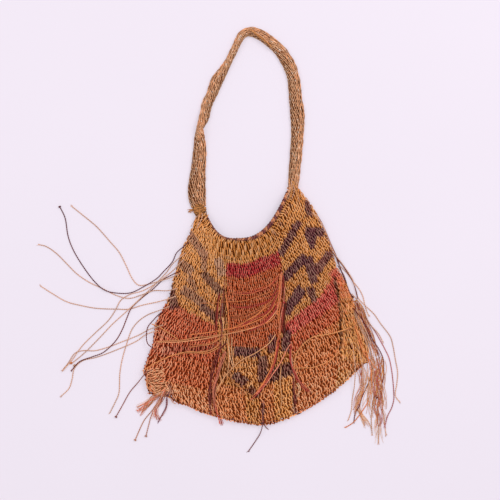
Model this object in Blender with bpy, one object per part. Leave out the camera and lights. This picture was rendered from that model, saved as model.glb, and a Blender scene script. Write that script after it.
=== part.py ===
"""A bilum: a looped string bag with a netted carrying strap, lying on its back on a flat surface.

The surface is the XY plane and +Z is up. +Y runs from the hem of the pouch to the top of the strap,
and +X runs to the right as the bag is seen from above. The origin is the middle of the pouch and
strap's outline, on the surface. The pouch is looped in the round, so its two layers are one solid.
Tables and named sizes are in millimetres, and MM turns them into metres where a mesh is made.
"""
import math

import bmesh
import bpy
import numpy as np
from mathutils import Matrix, Vector
from mathutils.bvhtree import BVHTree

MM = 0.001
GAP = 0.3  # clearance between solids that touch

# Pouch
WALL = 3.0  # one layer of looping
EDGE = 7.0  # the two layers where they turn at a side or at the hem
EDGE_INSET = 4.0  # how far in from a side the turned edge has its full height
CAVITY_INSET = 7.5  # how far in from a side the space between the layers begins
COLUMNS = 34  # faces across one layer
ROWS = 26  # faces down one layer
BACK_RISE = 5.0  # how far the back of the mouth stands above the front of it
BACK_RISE_DEPTH = 0.12  # share of the depth over which that fades
SIDE_RISE = 0.16  # share of the width over which the front rises from its sides to its crown
HEM_RISE = 0.16  # the same up from the hem
HEM_START = 0.15  # how far up that rise the hem itself stands
CROWN_ROUND = 0.7  # below 1, a fuller crown at the sides

# One row for each section of the pouch, from the mouth down to the hem. A section hangs between a
# left and a right edge point and has a lowest point between them. The powers say how its two halves
# sag (1 is a straight line, 2 a parabola), and crown is how far the front is lifted.
SECTION_COLUMNS = ("down", "left_x", "left_y", "low_x", "low_y", "right_x", "right_y",
                   "left_power", "right_power", "crown")
SECTIONS = (
    (0.000, -65.5, 17.5, -23.5, -16.0, 42.5, 49.0, 2.4, 2.5, 4.5),
    (0.035, -77.0, 13.5, -23.0, -24.0, 53.5, 48.5, 2.3, 2.4, 4.5),
    (0.125, -85.0, -6.0, -21.0, -46.0, 68.0, 30.5, 2.2, 2.2, 4.8),
    (0.250, -97.5, -34.5, -17.0, -76.0, 84.0, 4.0, 2.0, 2.1, 5.2),
    (0.375, -106.5, -65.0, -13.0, -106.0, 95.0, -24.5, 2.0, 2.0, 5.5),
    (0.500, -115.0, -95.5, -9.0, -136.0, 104.5, -53.5, 1.9, 1.9, 5.8),
    (0.625, -129.5, -123.5, -5.0, -166.5, 118.5, -81.0, 1.9, 1.8, 6.0),
    (0.750, -135.5, -154.0, -1.5, -196.5, 130.0, -109.0, 1.8, 1.8, 5.6),
    (0.875, -145.5, -184.5, 2.5, -226.0, 140.0, -139.0, 1.8, 1.7, 4.6),
    (1.000, -140.5, -214.5, 5.0, -256.5, 145.5, -171.5, 1.5, 1.7, 3.0),
)
NECK = 1  # the row where the necks that carry the strap end

# Folds and ridges of the front layer. across and down run from 0 to 1 over the layer, and a fold
# runs in a straight line on it from its top to its foot.
FOLD_COLUMNS = ("name", "top_across", "top_down", "foot_across", "foot_down", "half_width", "height")
FOLDS = (
    ("gusset roll", 0.975, 0.45, 0.940, 1.06, 13.0, 5.5),
    ("gusset valley", 0.950, 0.42, 0.882, 1.04, 9.0, -4.0),
    ("left corner bunch", 0.050, 0.84, 0.045, 1.08, 15.0, 4.5),
    ("left string seam", 0.270, 0.20, 0.262, 1.00, 9.0, 1.6),
    ("right string seam", 0.690, 0.20, 0.615, 1.00, 9.0, 1.8),
    ("left gather", 0.160, -0.10, 0.120, 0.40, 9.0, 1.4),
    ("middle gather", 0.450, -0.10, 0.440, 0.34, 10.0, 1.6),
    ("right gather", 0.800, -0.10, 0.830, 0.44, 10.0, 1.8),
    ("slack across the front", 0.330, 0.62, 0.580, 0.72, 16.0, -1.4),
)
FOLD_TOP, FOLD_FOOT = 0.30, 0.12  # shares of a fold's run over which it rises and dies out

# Mouth cords
MOUTH_CORD = 2.6  # diameter
MOUTH_CORD_INSET = 6.0  # how far from the necks the cords end
MOUTH_CORD_POINTS = 35
MOUTH_CORD_SLACK = 0.15  # extra clearance where the cord's straight stretches cut the curve's corners

# Strap: one row for each section, from the left neck round to the right one. hollow is how far the
# middle lies below the rolled edges, and roll turns the band over, in degrees.
STRAP_COLUMNS = ("x", "y", "width", "thickness", "hollow", "roll")
STRAP = (
    (-76.5, 36.5, 21.5, 4.6, 1.0, 0),
    (-77.0, 52.0, 21.5, 4.6, 1.2, 0),
    (-75.0, 73.5, 18.0, 4.8, 1.2, 0),
    (-73.0, 99.5, 15.5, 5.0, 1.0, 0),
    (-73.5, 115.5, 12.0, 6.0, 0.6, 20),
    (-72.5, 127.5, 10.5, 7.0, 0.3, 90),
    (-67.5, 140.0, 11.5, 6.0, 0.5, 160),
    (-63.5, 157.5, 12.0, 5.2, 0.8, 180),
    (-56.5, 173.0, 12.5, 5.0, 0.8, 180),
    (-50.5, 188.5, 14.5, 5.0, 0.8, 180),
    (-43.0, 200.5, 10.5, 5.4, 0.6, 180),
    (-34.5, 215.5, 7.5, 6.4, 0.2, 200),
    (-25.5, 234.0, 8.5, 6.0, 0.2, 220),
    (-18.5, 247.0, 9.0, 6.0, 0.3, 200),
    (-9.5, 252.0, 10.0, 5.6, 0.4, 180),
    (3.5, 249.0, 12.0, 5.4, 0.8, 180),
    (17.0, 240.0, 12.5, 5.4, 1.0, 180),
    (30.5, 228.0, 13.5, 5.2, 1.0, 180),
    (41.0, 212.5, 15.0, 5.0, 1.0, 180),
    (47.5, 196.0, 14.5, 5.0, 0.9, 180),
    (50.0, 179.5, 15.0, 4.8, 0.9, 180),
    (51.5, 162.5, 15.5, 4.8, 1.0, 180),
    (53.5, 147.0, 17.5, 4.6, 1.2, 180),
    (54.0, 131.5, 16.0, 4.8, 1.2, 180),
    (53.0, 108.5, 14.5, 5.0, 1.0, 180),
    (51.0, 84.0, 14.0, 5.0, 0.9, 180),
    (49.5, 66.5, 13.0, 5.4, 0.6, 180),
)
STRAP_START = (18.0, 4.8, 0.8)  # width, thickness and hollow where the band meets its knot
STRAP_END = (11.5, 6.0, 0.4)  # the same where it meets the right neck
STRAP_STEPS = 2  # mesh sections for each row of the table

# Knot between the band and the left neck: along the band, across it, high, and its rounding
KNOT_LENGTH, KNOT_WIDTH, KNOT_HEIGHT, KNOT_ROUND = 8.6, 17.5, 7.6, 2.4

# Hanging strings: the spare ends of the string that the loops are made with.
STRING = 1.6  # diameter of the two-ply string
STRING_SPACING = 10.0  # along a string, between the points of its solid
STRING_FEWEST = 6  # points in a short string
LAY_STEP = 1.0  # how often the ground under a string is felt
LAY_FROM = 100.0  # height from which it is felt
LAY_SLACK = 1.06  # extra clearance over a string that lies at a slope
LAY_SLOPE = 0.33  # steepest that a string climbs or drops

# Each route runs along the surface from the string's root to its end, in the order in which the
# strings were laid down. dye names the string's colour.
STRINGS = {
    "front_01": ("orange", ((30, -96), (27, -108), (16, -122), (1, -130), (-21, -136), (-40, -140),
                            (-64, -145), (-84, -148), (-104, -150), (-125, -150))),
    "front_02": ("orange", ((26, -100), (18, -110), (8, -119), (-8, -126), (-26, -131), (-44, -134),
                            (-65, -138), (-83, -140))),
    "front_03": ("plain", ((-101, -146), (-112, -139), (-124, -131), (-135, -127))),
    "front_04": ("plain", ((-44, -155), (-64, -164), (-84, -162), (-104, -166), (-122, -173),
                           (-138, -182), (-146, -187))),
    "front_05": ("plain", ((25, -140), (16, -152), (-1, -164), (-17, -172), (-29, -182),
                           (-40, -194), (-51, -212))),
    "front_06": ("red", ((33, -99), (34, -116), (32, -133), (27, -151), (23, -172), (16, -192),
                         (5, -212), (-6, -224))),
    "front_07": ("dark", ((-44, -96), (-46, -116), (-44, -136), (-47, -161), (-52, -179),
                          (-58, -200), (-61, -220), (-58, -243))),
    "front_08": ("orange", ((-42, -164), (-48, -182), (-53, -200), (-55, -218), (-52, -235),
                            (-47, -255))),
    "front_09": ("plain", ((134, -118), (124, -129), (108, -136), (91, -140), (72, -144),
                           (57, -157), (50, -172), (49, -195), (51, -216))),
    "front_10": ("plain", ((47, -183), (61, -183), (75, -182), (95, -174), (107, -162))),
    "left_04": ("plain", ((-104, -91), (-115, -95), (-130, -99), (-148, -103), (-165, -108), (-182, -108),
                          (-207, -107), (-229, -103), (-247, -98), (-266, -87), (-280, -78))),
    "left_08": ("plain", ((-112, -104), (-124, -109), (-140, -115), (-153, -124), (-162, -136),
                          (-169, -156), (-174, -174), (-177, -192), (-178, -216), (-183, -229),
                          (-190, -243))),
    "left_09": ("plain", ((-120, -128), (-138, -134), (-153, -142), (-173, -150), (-191, -157),
                          (-209, -162), (-225, -162), (-236, -166), (-244, -178), (-252, -188))),
    "left_10": ("plain", ((-127, -135), (-143, -141), (-156, -150), (-174, -158), (-194, -166),
                          (-209, -171), (-225, -175), (-236, -185), (-239, -199), (-243, -211),
                          (-253, -221))),
    "left_12": ("dark", ((-117, -109), (-125, -114), (-133, -122), (-140, -131), (-142, -143), (-140, -153),
                         (-130, -160))),
    "left_11": ("red", ((-134, -186), (-143, -191), (-153, -203), (-164, -216), (-173, -232),
                        (-182, -248))),
    "left_07": ("dark", ((-98, -58), (-112, -65), (-121, -70), (-134, -82), (-150, -95),
                         (-162, -107), (-168, -120), (-174, -135), (-183, -150), (-198, -164),
                         (-213, -170), (-229, -176), (-240, -188))),
    "left_05": ("plain", ((-93, -43), (-109, -59), (-129, -74), (-147, -84), (-164, -89),
                          (-176, -97), (-183, -110), (-193, -124), (-209, -139), (-226, -156),
                          (-239, -174), (-251, -188))),
    "left_06": ("plain", ((-91, -35), (-107, -48), (-117, -61), (-131, -76), (-148, -92),
                          (-166, -109), (-186, -127), (-204, -146), (-223, -165), (-240, -179))),
    "left_03": ("plain", ((-102, -81), (-116, -84), (-133, -84), (-150, -90), (-165, -94), (-182, -90),
                          (-200, -81), (-217, -73), (-233, -62), (-246, -49), (-259, -36),
                          (-272, -27), (-283, -24))),
    "left_02": ("plain", ((-98, -61), (-108, -66), (-120, -70), (-138, -75), (-152, -77), (-161, -68),
                          (-169, -51), (-178, -34), (-190, -20), (-207, -1), (-225, 14),
                          (-240, 26))),
    "left_01": ("dark", ((-87, -21), (-94, -27), (-103, -35), (-109, -47), (-120, -59), (-130, -69),
                         (-148, -80), (-164, -87), (-182, -87), (-197, -83), (-210, -72),
                         (-223, -55), (-236, -34), (-244, -14), (-248, 10), (-255, 25))),
    "tassel_01": ("red", ((-117, -211), (-124, -216), (-131, -222), (-140, -229), (-148, -236),
                          (-154, -240))),
    "tassel_02": ("orange", ((-116, -214), (-124, -224), (-130, -233), (-136, -241), (-145, -252),
                             (-151, -264), (-157, -278))),
    "tassel_03": ("red", ((-114, -214), (-120, -225), (-127, -235), (-135, -244), (-139, -257),
                          (-143, -273))),
    "tassel_04": ("dark", ((-112, -214), (-116, -225), (-117, -235), (-122, -245), (-127, -255))),
    "hem_01": ("red", ((8, -237), (9, -250), (8, -260), (5, -270), (-1, -280), (-10, -293))),
    "right_02": ("dark", ((95, -30), (104, -41), (110, -56), (115, -70), (120, -83), (125, -94))),
    "right_12": ("plain", ((122, -146), (125, -159), (127, -173), (128, -185), (128, -198),
                           (127, -212), (125, -226), (124, -239), (120, -252))),
    "right_13": ("plain", ((130, -152), (134, -166), (137, -179), (138, -192), (138, -205),
                           (135, -216), (133, -225), (134, -235), (139, -246), (146, -255),
                           (150, -263))),
    "right_11": ("dark", ((146, -161), (150, -177), (151, -190), (148, -200), (143, -211),
                          (138, -222), (134, -234), (129, -243), (127, -255))),
    "right_10": ("orange", ((122, -113), (129, -131), (136, -150), (144, -169), (149, -187),
                            (150, -203), (149, -216), (145, -229), (139, -239), (131, -250),
                            (124, -257), (116, -262))),
    "right_07": ("plain", ((125, -110), (134, -130), (142, -150), (148, -169), (153, -190),
                           (154, -211), (153, -229), (150, -244), (150, -259), (151, -272))),
    "right_09": ("plain", ((127, -109), (136, -130), (146, -151), (152, -172), (157, -192),
                           (159, -213), (159, -231), (158, -248), (159, -265), (159, -282))),
    "right_08": ("plain", ((129, -108), (139, -129), (148, -148), (156, -169), (161, -190),
                           (163, -208), (164, -226), (165, -243), (167, -257), (169, -272))),
    "right_06": ("dark", ((125, -106), (131, -113), (139, -124), (146, -135), (151, -147), (159, -159),
                          (165, -172), (166, -185), (166, -195), (164, -203))),
    "right_05": ("red", ((129, -98), (137, -108), (144, -122), (154, -136), (161, -148), (168, -161),
                         (173, -172), (176, -186), (178, -202), (179, -216), (179, -226),
                         (176, -237), (171, -247), (167, -261))),
    "right_04": ("plain", ((124, -88), (133, -98), (140, -108), (144, -120), (150, -130), (159, -140),
                           (165, -151))),
    "right_03": ("plain", ((109, -52), (118, -61), (126, -72), (134, -82), (139, -92), (141, -101),
                           (144, -111), (147, -117))),
    "right_01": ("plain", ((73, 17), (80, 10), (87, -1), (95, -20), (101, -35), (114, -52), (125, -69),
                           (129, -82), (132, -92), (139, -101), (153, -114), (162, -127),
                           (174, -143), (178, -156), (181, -173), (184, -190), (183, -205),
                           (181, -220), (187, -229))),
}

FIBRE_ROUGHNESS = 0.9
COLOURS = {
    "ochre": (0.50, 0.24, 0.07),
    "strap": (0.38, 0.19, 0.07),
    "plain": (0.60, 0.35, 0.17),
    "orange": (0.52, 0.20, 0.06),
    "red": (0.36, 0.07, 0.06),
    "dark": (0.06, 0.03, 0.05),
}


def material(name):
    """A dyed plant-fibre finish of one of COLOURS."""
    found = bpy.data.materials.get(name)
    if found:
        return found
    made = bpy.data.materials.new(name)
    made.use_nodes = True
    shader = made.node_tree.nodes["Principled BSDF"]
    shader.inputs["Base Color"].default_value = (*COLOURS[name], 1.0)
    shader.inputs["Roughness"].default_value = FIBRE_ROUGHNESS
    shader.inputs["Metallic"].default_value = 0.0
    return made


def ease(share):
    """0 at 0 and 1 at 1, level at both, and held there outside."""
    held = min(max(share, 0.0), 1.0)
    return held * held * (3.0 - 2.0 * held)


# ---------------------------------------------------------------- the pouch

def section_row(down):
    """The columns of SECTIONS at a depth: straight in the necks, and a smooth curve below them."""
    if down <= SECTIONS[NECK][0]:
        share = max(down, 0.0) / SECTIONS[NECK][0]
        values = [a + (b - a) * share for a, b in zip(SECTIONS[0], SECTIONS[NECK])]
        return dict(zip(SECTION_COLUMNS, values))
    rows = SECTIONS[NECK:]
    last = len(rows) - 2
    at = next((i for i in range(last) if down <= rows[i + 1][0]), last)
    before, start, end, after = rows[max(at - 1, 0)], rows[at], rows[at + 1], rows[min(at + 2, last + 1)]
    span = end[0] - start[0]
    t = (down - start[0]) / span
    values = []
    for p, q, r, s in zip(before, start, end, after):
        leave = span * (r - p) / (end[0] - before[0])
        arrive = span * (s - q) / (after[0] - start[0])
        values.append(q + t * leave + t * t * (3 * (r - q) - 2 * leave - arrive)
                      + t * t * t * (2 * (q - r) + leave + arrive))
    return dict(zip(SECTION_COLUMNS, values))


def section_line(row, steps=24):
    """Points along a section, from its left edge through its lowest point to its right edge."""
    low = Vector((row["low_x"], row["low_y"]))
    halves = []
    for side in ("left", "right"):
        edge = Vector((row[side + "_x"], row[side + "_y"]))
        half = []
        for step in range(steps + 1):
            away = 1.0 - step / steps
            sag = 1.0 - away ** row[side + "_power"]
            half.append(Vector((low.x + (edge.x - low.x) * away, edge.y + (low.y - edge.y) * sag)))
        halves.append(half)
    return halves[0] + halves[1][-2::-1]


def along(line, share):
    """The point at a share of a line's length."""
    lengths = [(b - a).length for a, b in zip(line, line[1:])]
    left = share * sum(lengths)
    for a, b, length in zip(line, line[1:], lengths):
        if left <= length or b is line[-1]:
            return a.lerp(b, left / length if length else 0.0)
        left -= length
    return line[-1]


def line_length(line):
    return sum((b - a).length for a, b in zip(line, line[1:]))


def fold_height(across, down, width):
    """What the folds add to the front layer at a point. width is the section's length there."""
    total = 0.0
    for row in FOLDS:
        fold = dict(zip(FOLD_COLUMNS, row))
        run = (down - fold["top_down"]) / (fold["foot_down"] - fold["top_down"])
        if not 0.0 <= run <= 1.0:
            continue
        middle = fold["top_across"] + (fold["foot_across"] - fold["top_across"]) * run
        away = abs(across - middle) * width / fold["half_width"]
        if away < 1.0:
            ends = ease(run / FOLD_TOP) * ease((1.0 - run) / FOLD_FOOT)
            total += fold["height"] * ends * (0.5 + 0.5 * math.cos(math.pi * away))
    return total


def front_height(across, down, row, width):
    """The height of the front layer's outer face."""
    crown = row["crown"] * ease(min(across, 1.0 - across) / SIDE_RISE) ** CROWN_ROUND
    crown *= ease((1.0 - down) / HEM_RISE + HEM_START)
    return max(EDGE, EDGE + crown + fold_height(across, down, width))


def layer_point(across, down, inset, which):
    """A point of a layer's outer (inset 0) or inner (inset WALL) face. which is front or back."""
    row = section_row(down)
    line = section_line(row)
    flat = along(line, across)
    if which == "back":
        bow = 4.0 * across * (1.0 - across)
        lift = BACK_RISE * bow * max(0.0, 1.0 - down / BACK_RISE_DEPTH)
        return Vector((flat.x, flat.y + lift, inset))
    return Vector((flat.x, flat.y, front_height(across, down, row, line_length(line)) - inset))


def shares(count, inset, length, both):
    """count + 1 shares of a length: the last cell is inset wide, and so is the first one if both."""
    first = inset / length
    if both:
        middle = [first + (1.0 - 2.0 * first) * i / (count - 2) for i in range(count - 1)]
        return [0.0, *middle, 1.0]
    return [(1.0 - first) * i / (count - 1) for i in range(count)] + [1.0]


def pouch():
    """Both layers, turned at the sides and the hem and open at the mouth, as one closed shell."""
    mesh = bmesh.new()
    depth = line_length([Vector((section_row(i / 20)["low_x"], section_row(i / 20)["low_y"]))
                         for i in range(21)])

    def skin(outer):
        """Rows of vertices of one skin: a front and a back grid that share their side and hem points."""
        start = 0.0 if outer else CAVITY_INSET
        inset = 0.0 if outer else WALL
        turn = EDGE_INSET if outer else 1.5 * EDGE_INSET
        downs = shares(ROWS, turn, depth, both=False)
        downs = [d * (1.0 - start / depth) for d in downs]
        downs[1] = SECTIONS[NECK][0]
        front, back = [], []
        for j, down in enumerate(downs):
            length = line_length(section_line(section_row(down)))
            margin = start / length
            acrosses = [margin + (1.0 - 2.0 * margin) * a
                        for a in shares(COLUMNS, turn, length - 2.0 * start, both=True)]
            front_row, back_row = [], []
            for i, across in enumerate(acrosses):
                turned = i in (0, COLUMNS) or j == ROWS
                at = layer_point(across, down, inset, "front")
                if turned:
                    at.z = EDGE / 2.0
                front_row.append(mesh.verts.new(at * MM))
                if turned:
                    back_row.append(front_row[-1])
                else:
                    back_row.append(mesh.verts.new(layer_point(across, down, inset, "back") * MM))
            front.append(front_row)
            back.append(back_row)
        for grid in (front, back):
            for upper, lower in zip(grid, grid[1:]):
                for i in range(COLUMNS):
                    mesh.faces.new(dict.fromkeys((upper[i], upper[i + 1], lower[i + 1], lower[i])))
        return front, back

    for outer, inner in zip(skin(True), skin(False)):
        for i in range(COLUMNS):
            mesh.faces.new((outer[0][i], outer[0][i + 1], inner[0][i + 1], inner[0][i]))
    return add_mesh("bag_body", mesh, "ochre")


def add_mesh(name, mesh, finish):
    """A bmesh as a named object in the bag's collection, facing out and shaded smooth."""
    bmesh.ops.recalc_face_normals(mesh, faces=mesh.faces)
    if mesh.calc_volume(signed=True) < 0.0:
        bmesh.ops.reverse_faces(mesh, faces=mesh.faces)
    bmesh.ops.triangulate(mesh, faces=mesh.faces)
    data = bpy.data.meshes.new(name)
    mesh.to_mesh(data)
    mesh.free()
    data.shade_smooth()
    data.materials.append(material(finish))
    made = bpy.data.objects.new(name, data)
    BAG.objects.link(made)
    return made


# ---------------------------------------------------------------- cords and strings

def add_tube(name, points, diameter, finish):
    """A round cord through points, in millimetres, with closed ends."""
    data = bpy.data.curves.new(name, "CURVE")
    data.dimensions = "3D"
    data.bevel_depth = diameter / 2.0 * MM
    data.bevel_resolution = 2
    data.use_fill_caps = True
    data.twist_mode = "Z_UP"
    spline = data.splines.new("POLY")
    spline.points.add(len(points) - 1)
    for point, place in zip(spline.points, points):
        point.co = (*(place * MM), 1.0)
    data.materials.append(material(finish))
    made = bpy.data.objects.new(name, data)
    BAG.objects.link(made)
    return made


def mouth_cord(name, which):
    """The foundation cord along one side of the mouth, just clear of the first loops."""
    clear = MOUTH_CORD / 2.0 + GAP + MOUTH_CORD_SLACK
    inset = MOUTH_CORD_INSET / line_length(section_line(section_row(0.0)))
    nearby = inset / 4.0
    places = []
    for i in range(MOUTH_CORD_POINTS):
        across = inset + (1.0 - 2.0 * inset) * i / (MOUTH_CORD_POINTS - 1)
        at = layer_point(across, 0.0, WALL / 2.0, which)
        ahead = layer_point(across + nearby, 0.0, WALL / 2.0, which)
        behind = layer_point(across - nearby, 0.0, WALL / 2.0, which)
        run = ahead - behind
        out = Vector((-run.y, run.x, 0.0)).normalized()
        places.append(at + out * clear)
    return add_tube(name, places, MOUTH_CORD, "strap")


def smooth_line(route, step=1.0):
    """Evenly spaced points, about step apart, on a smooth curve through a route's own points."""
    knots = [Vector((x, y, 0.0)) for x, y in route]
    knots = [2 * knots[0] - knots[1], *knots, 2 * knots[-1] - knots[-2]]
    line = []
    for p, q, r, s in zip(knots, knots[1:], knots[2:], knots[3:]):
        for i in range(20):
            t = i / 20
            line.append(0.5 * ((2 * q) + (r - p) * t + (2 * p - 5 * q + 4 * r - s) * t * t
                               + (3 * q - p - 3 * r + s) * t * t * t))
    line.append(knots[-2])
    count = max(2, round(line_length(line) / step))
    return [along(line, i / count) for i in range(count + 1)]


class Ground:
    """What a string can lie on: the surface, the pieces already made and the strings already laid."""

    def __init__(self):
        self.trees = []
        self.starts = np.zeros((0, 3))
        self.runs = np.zeros((0, 3))

    def add_piece(self, made):
        graph = bpy.context.evaluated_depsgraph_get()
        data = bpy.data.meshes.new_from_object(made.evaluated_get(graph))
        points = [made.matrix_world @ v.co / MM for v in data.vertices]
        faces = [tuple(p.vertices) for p in data.polygons]
        bpy.data.meshes.remove(data)
        self.trees.append(BVHTree.FromPolygons(points, faces))

    def add_string(self, places):
        points = np.array([tuple(p) for p in places])
        self.starts = np.vstack([self.starts, points[:-1]])
        self.runs = np.vstack([self.runs, points[1:] - points[:-1]])

    def under(self, at, side):
        """The lowest height at which a string's centre clears everything below a point."""
        radius = STRING / 2.0
        lowest = radius
        for offset in (-1.0, 0.0, 1.0):
            above = Vector((at.x, at.y, 0.0)) + side * offset * (radius + GAP) + Vector((0, 0, LAY_FROM))
            for tree in self.trees:
                hit = tree.ray_cast(above, Vector((0.0, 0.0, -1.0)))[0]
                if hit is not None:
                    lowest = max(lowest, hit.z + radius + GAP)
        if len(self.starts):
            clear = STRING + GAP
            flat_runs = self.runs[:, :2]
            offset = np.array((at.x, at.y)) - self.starts[:, :2]
            share = (offset * flat_runs).sum(axis=1) / np.maximum((flat_runs ** 2).sum(axis=1), 1e-9)
            share = np.clip(share, 0.0, 1.0)
            away = np.hypot(*(offset - flat_runs * share[:, None]).T)
            near = away < clear
            if near.any():
                height = self.starts[near, 2] + self.runs[near, 2] * share[near]
                rise = np.sqrt(clear ** 2 - away[near] ** 2) * LAY_SLACK
                lowest = max(lowest, float((height + rise).max()))
        return lowest


def lay_string(name, dye, route, ground):
    """A string along its route, each stretch as low as what lies under it allows."""
    line = smooth_line(route)
    count = max(STRING_FEWEST - 1, round(line_length(line) / STRING_SPACING))
    flat = [along(line, i / count) for i in range(count + 1)]
    needs = []
    for a, b in zip(flat, flat[1:]):
        run = b - a
        side = Vector((-run.y, run.x, 0.0)).normalized()
        steps = max(2, math.ceil(run.length / LAY_STEP))
        needs.append(max(ground.under(a.lerp(b, i / steps), side) for i in range(steps + 1)))
    heights = [max(needs[max(i - 1, 0)], needs[min(i, count - 1)]) for i in range(count + 1)]
    for order in (range(1, count + 1), range(count - 1, -1, -1)):
        for i in order:
            beside = i - order.step
            drop = (flat[i] - flat[beside]).length * LAY_SLOPE
            heights[i] = max(heights[i], heights[beside] - drop)
    places = [Vector((at.x, at.y, height)) for at, height in zip(flat, heights)]
    ground.add_string(places)
    return add_tube(name, places, STRING, dye)


# ---------------------------------------------------------------- the strap

def band_profile(width, thickness, hollow):
    """A cross-section of the band about its middle: flattened, with rolled edges and a hollow top."""
    half, high, cut = width / 2.0, thickness / 2.0, 0.32 * thickness
    return [(-half, -high + cut), (-half + cut, -high), (half - cut, -high), (half, -high + cut),
            (half, high - cut), (half - 1.4 * cut, high), (0.0, high - hollow),
            (-half + 1.4 * cut, high), (-half, high - cut)]


def neck_frame(left):
    """The middle of a neck's cut edge, and the direction in which the strap leaves it."""
    mouth, shoulder = section_row(0.0), section_row(SECTIONS[NECK][0])
    side = "left" if left else "right"
    inner = Vector((mouth[side + "_x"], mouth[side + "_y"], 0.0))
    outer = Vector((shoulder[side + "_x"], shoulder[side + "_y"], 0.0))
    run = inner - outer if left else outer - inner
    return (inner + outer) / 2.0, Vector((-run.y, run.x, 0.0)).normalized()


def strap():
    """The band as one solid through its sections, each resting on the surface."""
    left, left_way = neck_frame(True)
    right, right_way = neck_frame(False)
    start = left + left_way * (KNOT_LENGTH + 2.0 * GAP)
    end = right + right_way * GAP
    rows = [(start.x, start.y, *STRAP_START, STRAP[0][5]), *STRAP,
            (end.x, end.y, *STRAP_END, STRAP[-1][5])]
    sections = []
    for at in range(len(rows) - 1):
        p, q, r, s = (rows[max(at - 1, 0)], rows[at], rows[at + 1], rows[min(at + 2, len(rows) - 1)])
        for step in range(STRAP_STEPS):
            t = step / STRAP_STEPS
            sections.append([b + t * (c - a) / 2 + t * t * (3 * (c - b) - (c - a) - (d - b) / 2)
                             + t * t * t * (2 * (b - c) + (c - a) / 2 + (d - b) / 2)
                             for a, b, c, d in zip(p, q, r, s)])
    sections.append(list(rows[-1]))

    mesh = bmesh.new()
    rings = []
    for i, (x, y, width, thickness, hollow, roll) in enumerate(sections):
        if i == 0:
            way = left_way
        elif i == len(sections) - 1:
            way = -right_way
        else:
            before, after = sections[i - 1], sections[i + 1]
            way = Vector((after[0] - before[0], after[1] - before[1], 0.0)).normalized()
        across = Vector((way.y, -way.x, 0.0))
        turn = Matrix.Rotation(math.radians(roll), 2)
        profile = [turn @ Vector(p) for p in band_profile(width, thickness, hollow)]
        lowest = min(p.y for p in profile)
        rings.append([mesh.verts.new((Vector((x, y, 0.0)) + across * p.x
                                      + Vector((0.0, 0.0, p.y - lowest))) * MM) for p in profile])
    for ring, following in zip(rings, rings[1:]):
        for i in range(len(ring)):
            j = (i + 1) % len(ring)
            mesh.faces.new((ring[i], ring[j], following[j], following[i]))
    for ring in (rings[0], rings[-1]):
        mesh.faces.new(ring)
    return add_mesh("strap", mesh, "strap")


def strap_knot():
    """The tied lump between the band and the left neck: a block with rounded edges."""
    neck, way = neck_frame(True)
    middle = neck + way * (GAP + KNOT_LENGTH / 2.0)
    mesh = bmesh.new()
    bmesh.ops.create_cube(mesh, size=1.0)
    bmesh.ops.scale(mesh, vec=Vector((KNOT_WIDTH, KNOT_LENGTH, KNOT_HEIGHT)) * MM, verts=mesh.verts)
    bmesh.ops.bevel(mesh, geom=list(mesh.edges), offset=KNOT_ROUND * MM, segments=3, profile=0.5,
                    affect="EDGES")
    place = Matrix.Translation(Vector((middle.x, middle.y, KNOT_HEIGHT / 2.0)) * MM)
    place @= Matrix.Rotation(math.atan2(way.y, way.x) - math.pi / 2.0, 4, "Z")
    bmesh.ops.transform(mesh, matrix=place, verts=mesh.verts)
    return add_mesh("strap_knot", mesh, "strap")


for old in list(bpy.data.objects):
    bpy.data.objects.remove(old, do_unlink=True)
BAG = bpy.data.collections.new("bilum_string_bag")
bpy.context.scene.collection.children.link(BAG)

ground = Ground()
for piece in (pouch(), strap(), strap_knot(), mouth_cord("front_mouth_cord", "front"),
              mouth_cord("back_mouth_cord", "back")):
    bpy.context.view_layer.update()
    ground.add_piece(piece)
for string_name, (string_dye, string_route) in STRINGS.items():
    lay_string(string_name, string_dye, string_route, ground)
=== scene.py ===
import math

import bmesh
import bpy
import numpy as np
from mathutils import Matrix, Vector
from mathutils.bvhtree import BVHTree


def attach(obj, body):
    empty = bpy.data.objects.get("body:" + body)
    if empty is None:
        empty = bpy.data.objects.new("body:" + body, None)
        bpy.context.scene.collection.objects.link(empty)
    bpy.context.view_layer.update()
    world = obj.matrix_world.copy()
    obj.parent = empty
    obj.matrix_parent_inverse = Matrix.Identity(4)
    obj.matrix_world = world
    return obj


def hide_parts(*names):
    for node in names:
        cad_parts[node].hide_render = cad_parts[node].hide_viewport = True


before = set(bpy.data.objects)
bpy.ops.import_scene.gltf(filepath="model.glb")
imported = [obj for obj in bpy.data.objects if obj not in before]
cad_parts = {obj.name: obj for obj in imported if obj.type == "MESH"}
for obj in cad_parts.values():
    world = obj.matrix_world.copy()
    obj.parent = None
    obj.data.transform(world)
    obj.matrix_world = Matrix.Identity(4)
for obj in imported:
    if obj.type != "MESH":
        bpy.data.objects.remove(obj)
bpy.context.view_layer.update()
MM = 0.001

# ------------------------------------------------------------------ the view
# The bag lies on its back on a sheet of pale lilac-white paper and is seen from straight above, under
# large soft lamps. +Y is the top of the view. The paper has a faint glow, which keeps the shadows on
# it soft.
VIEW_MIDDLE, VIEW_HEIGHT = (-0.0078, -0.0312), 1.535
LENS, SENSOR = 85.0, 36.0
PAPER_SIZE, PAPER_GLOW, ROOM_LIGHT = 6.0, 0.52, 0.62
LAMPS = (  # name, place, size, power
    ("lamp_right", (0.95, 0.75, 1.55), 0.9, 15.0),
    ("lamp_left", (-1.15, 0.30, 1.65), 1.1, 8.5),
)

bpy.ops.object.select_all(action="DESELECT")
bpy.ops.object.camera_add(location=(*VIEW_MIDDLE, VIEW_HEIGHT), rotation=(0.0, 0.0, 0.0))
camera = bpy.context.object
camera.name = "view_from_above"
camera.data.lens, camera.data.sensor_width = LENS, SENSOR
bpy.context.scene.camera = camera
bpy.context.scene.view_settings.view_transform = "Standard"


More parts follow.
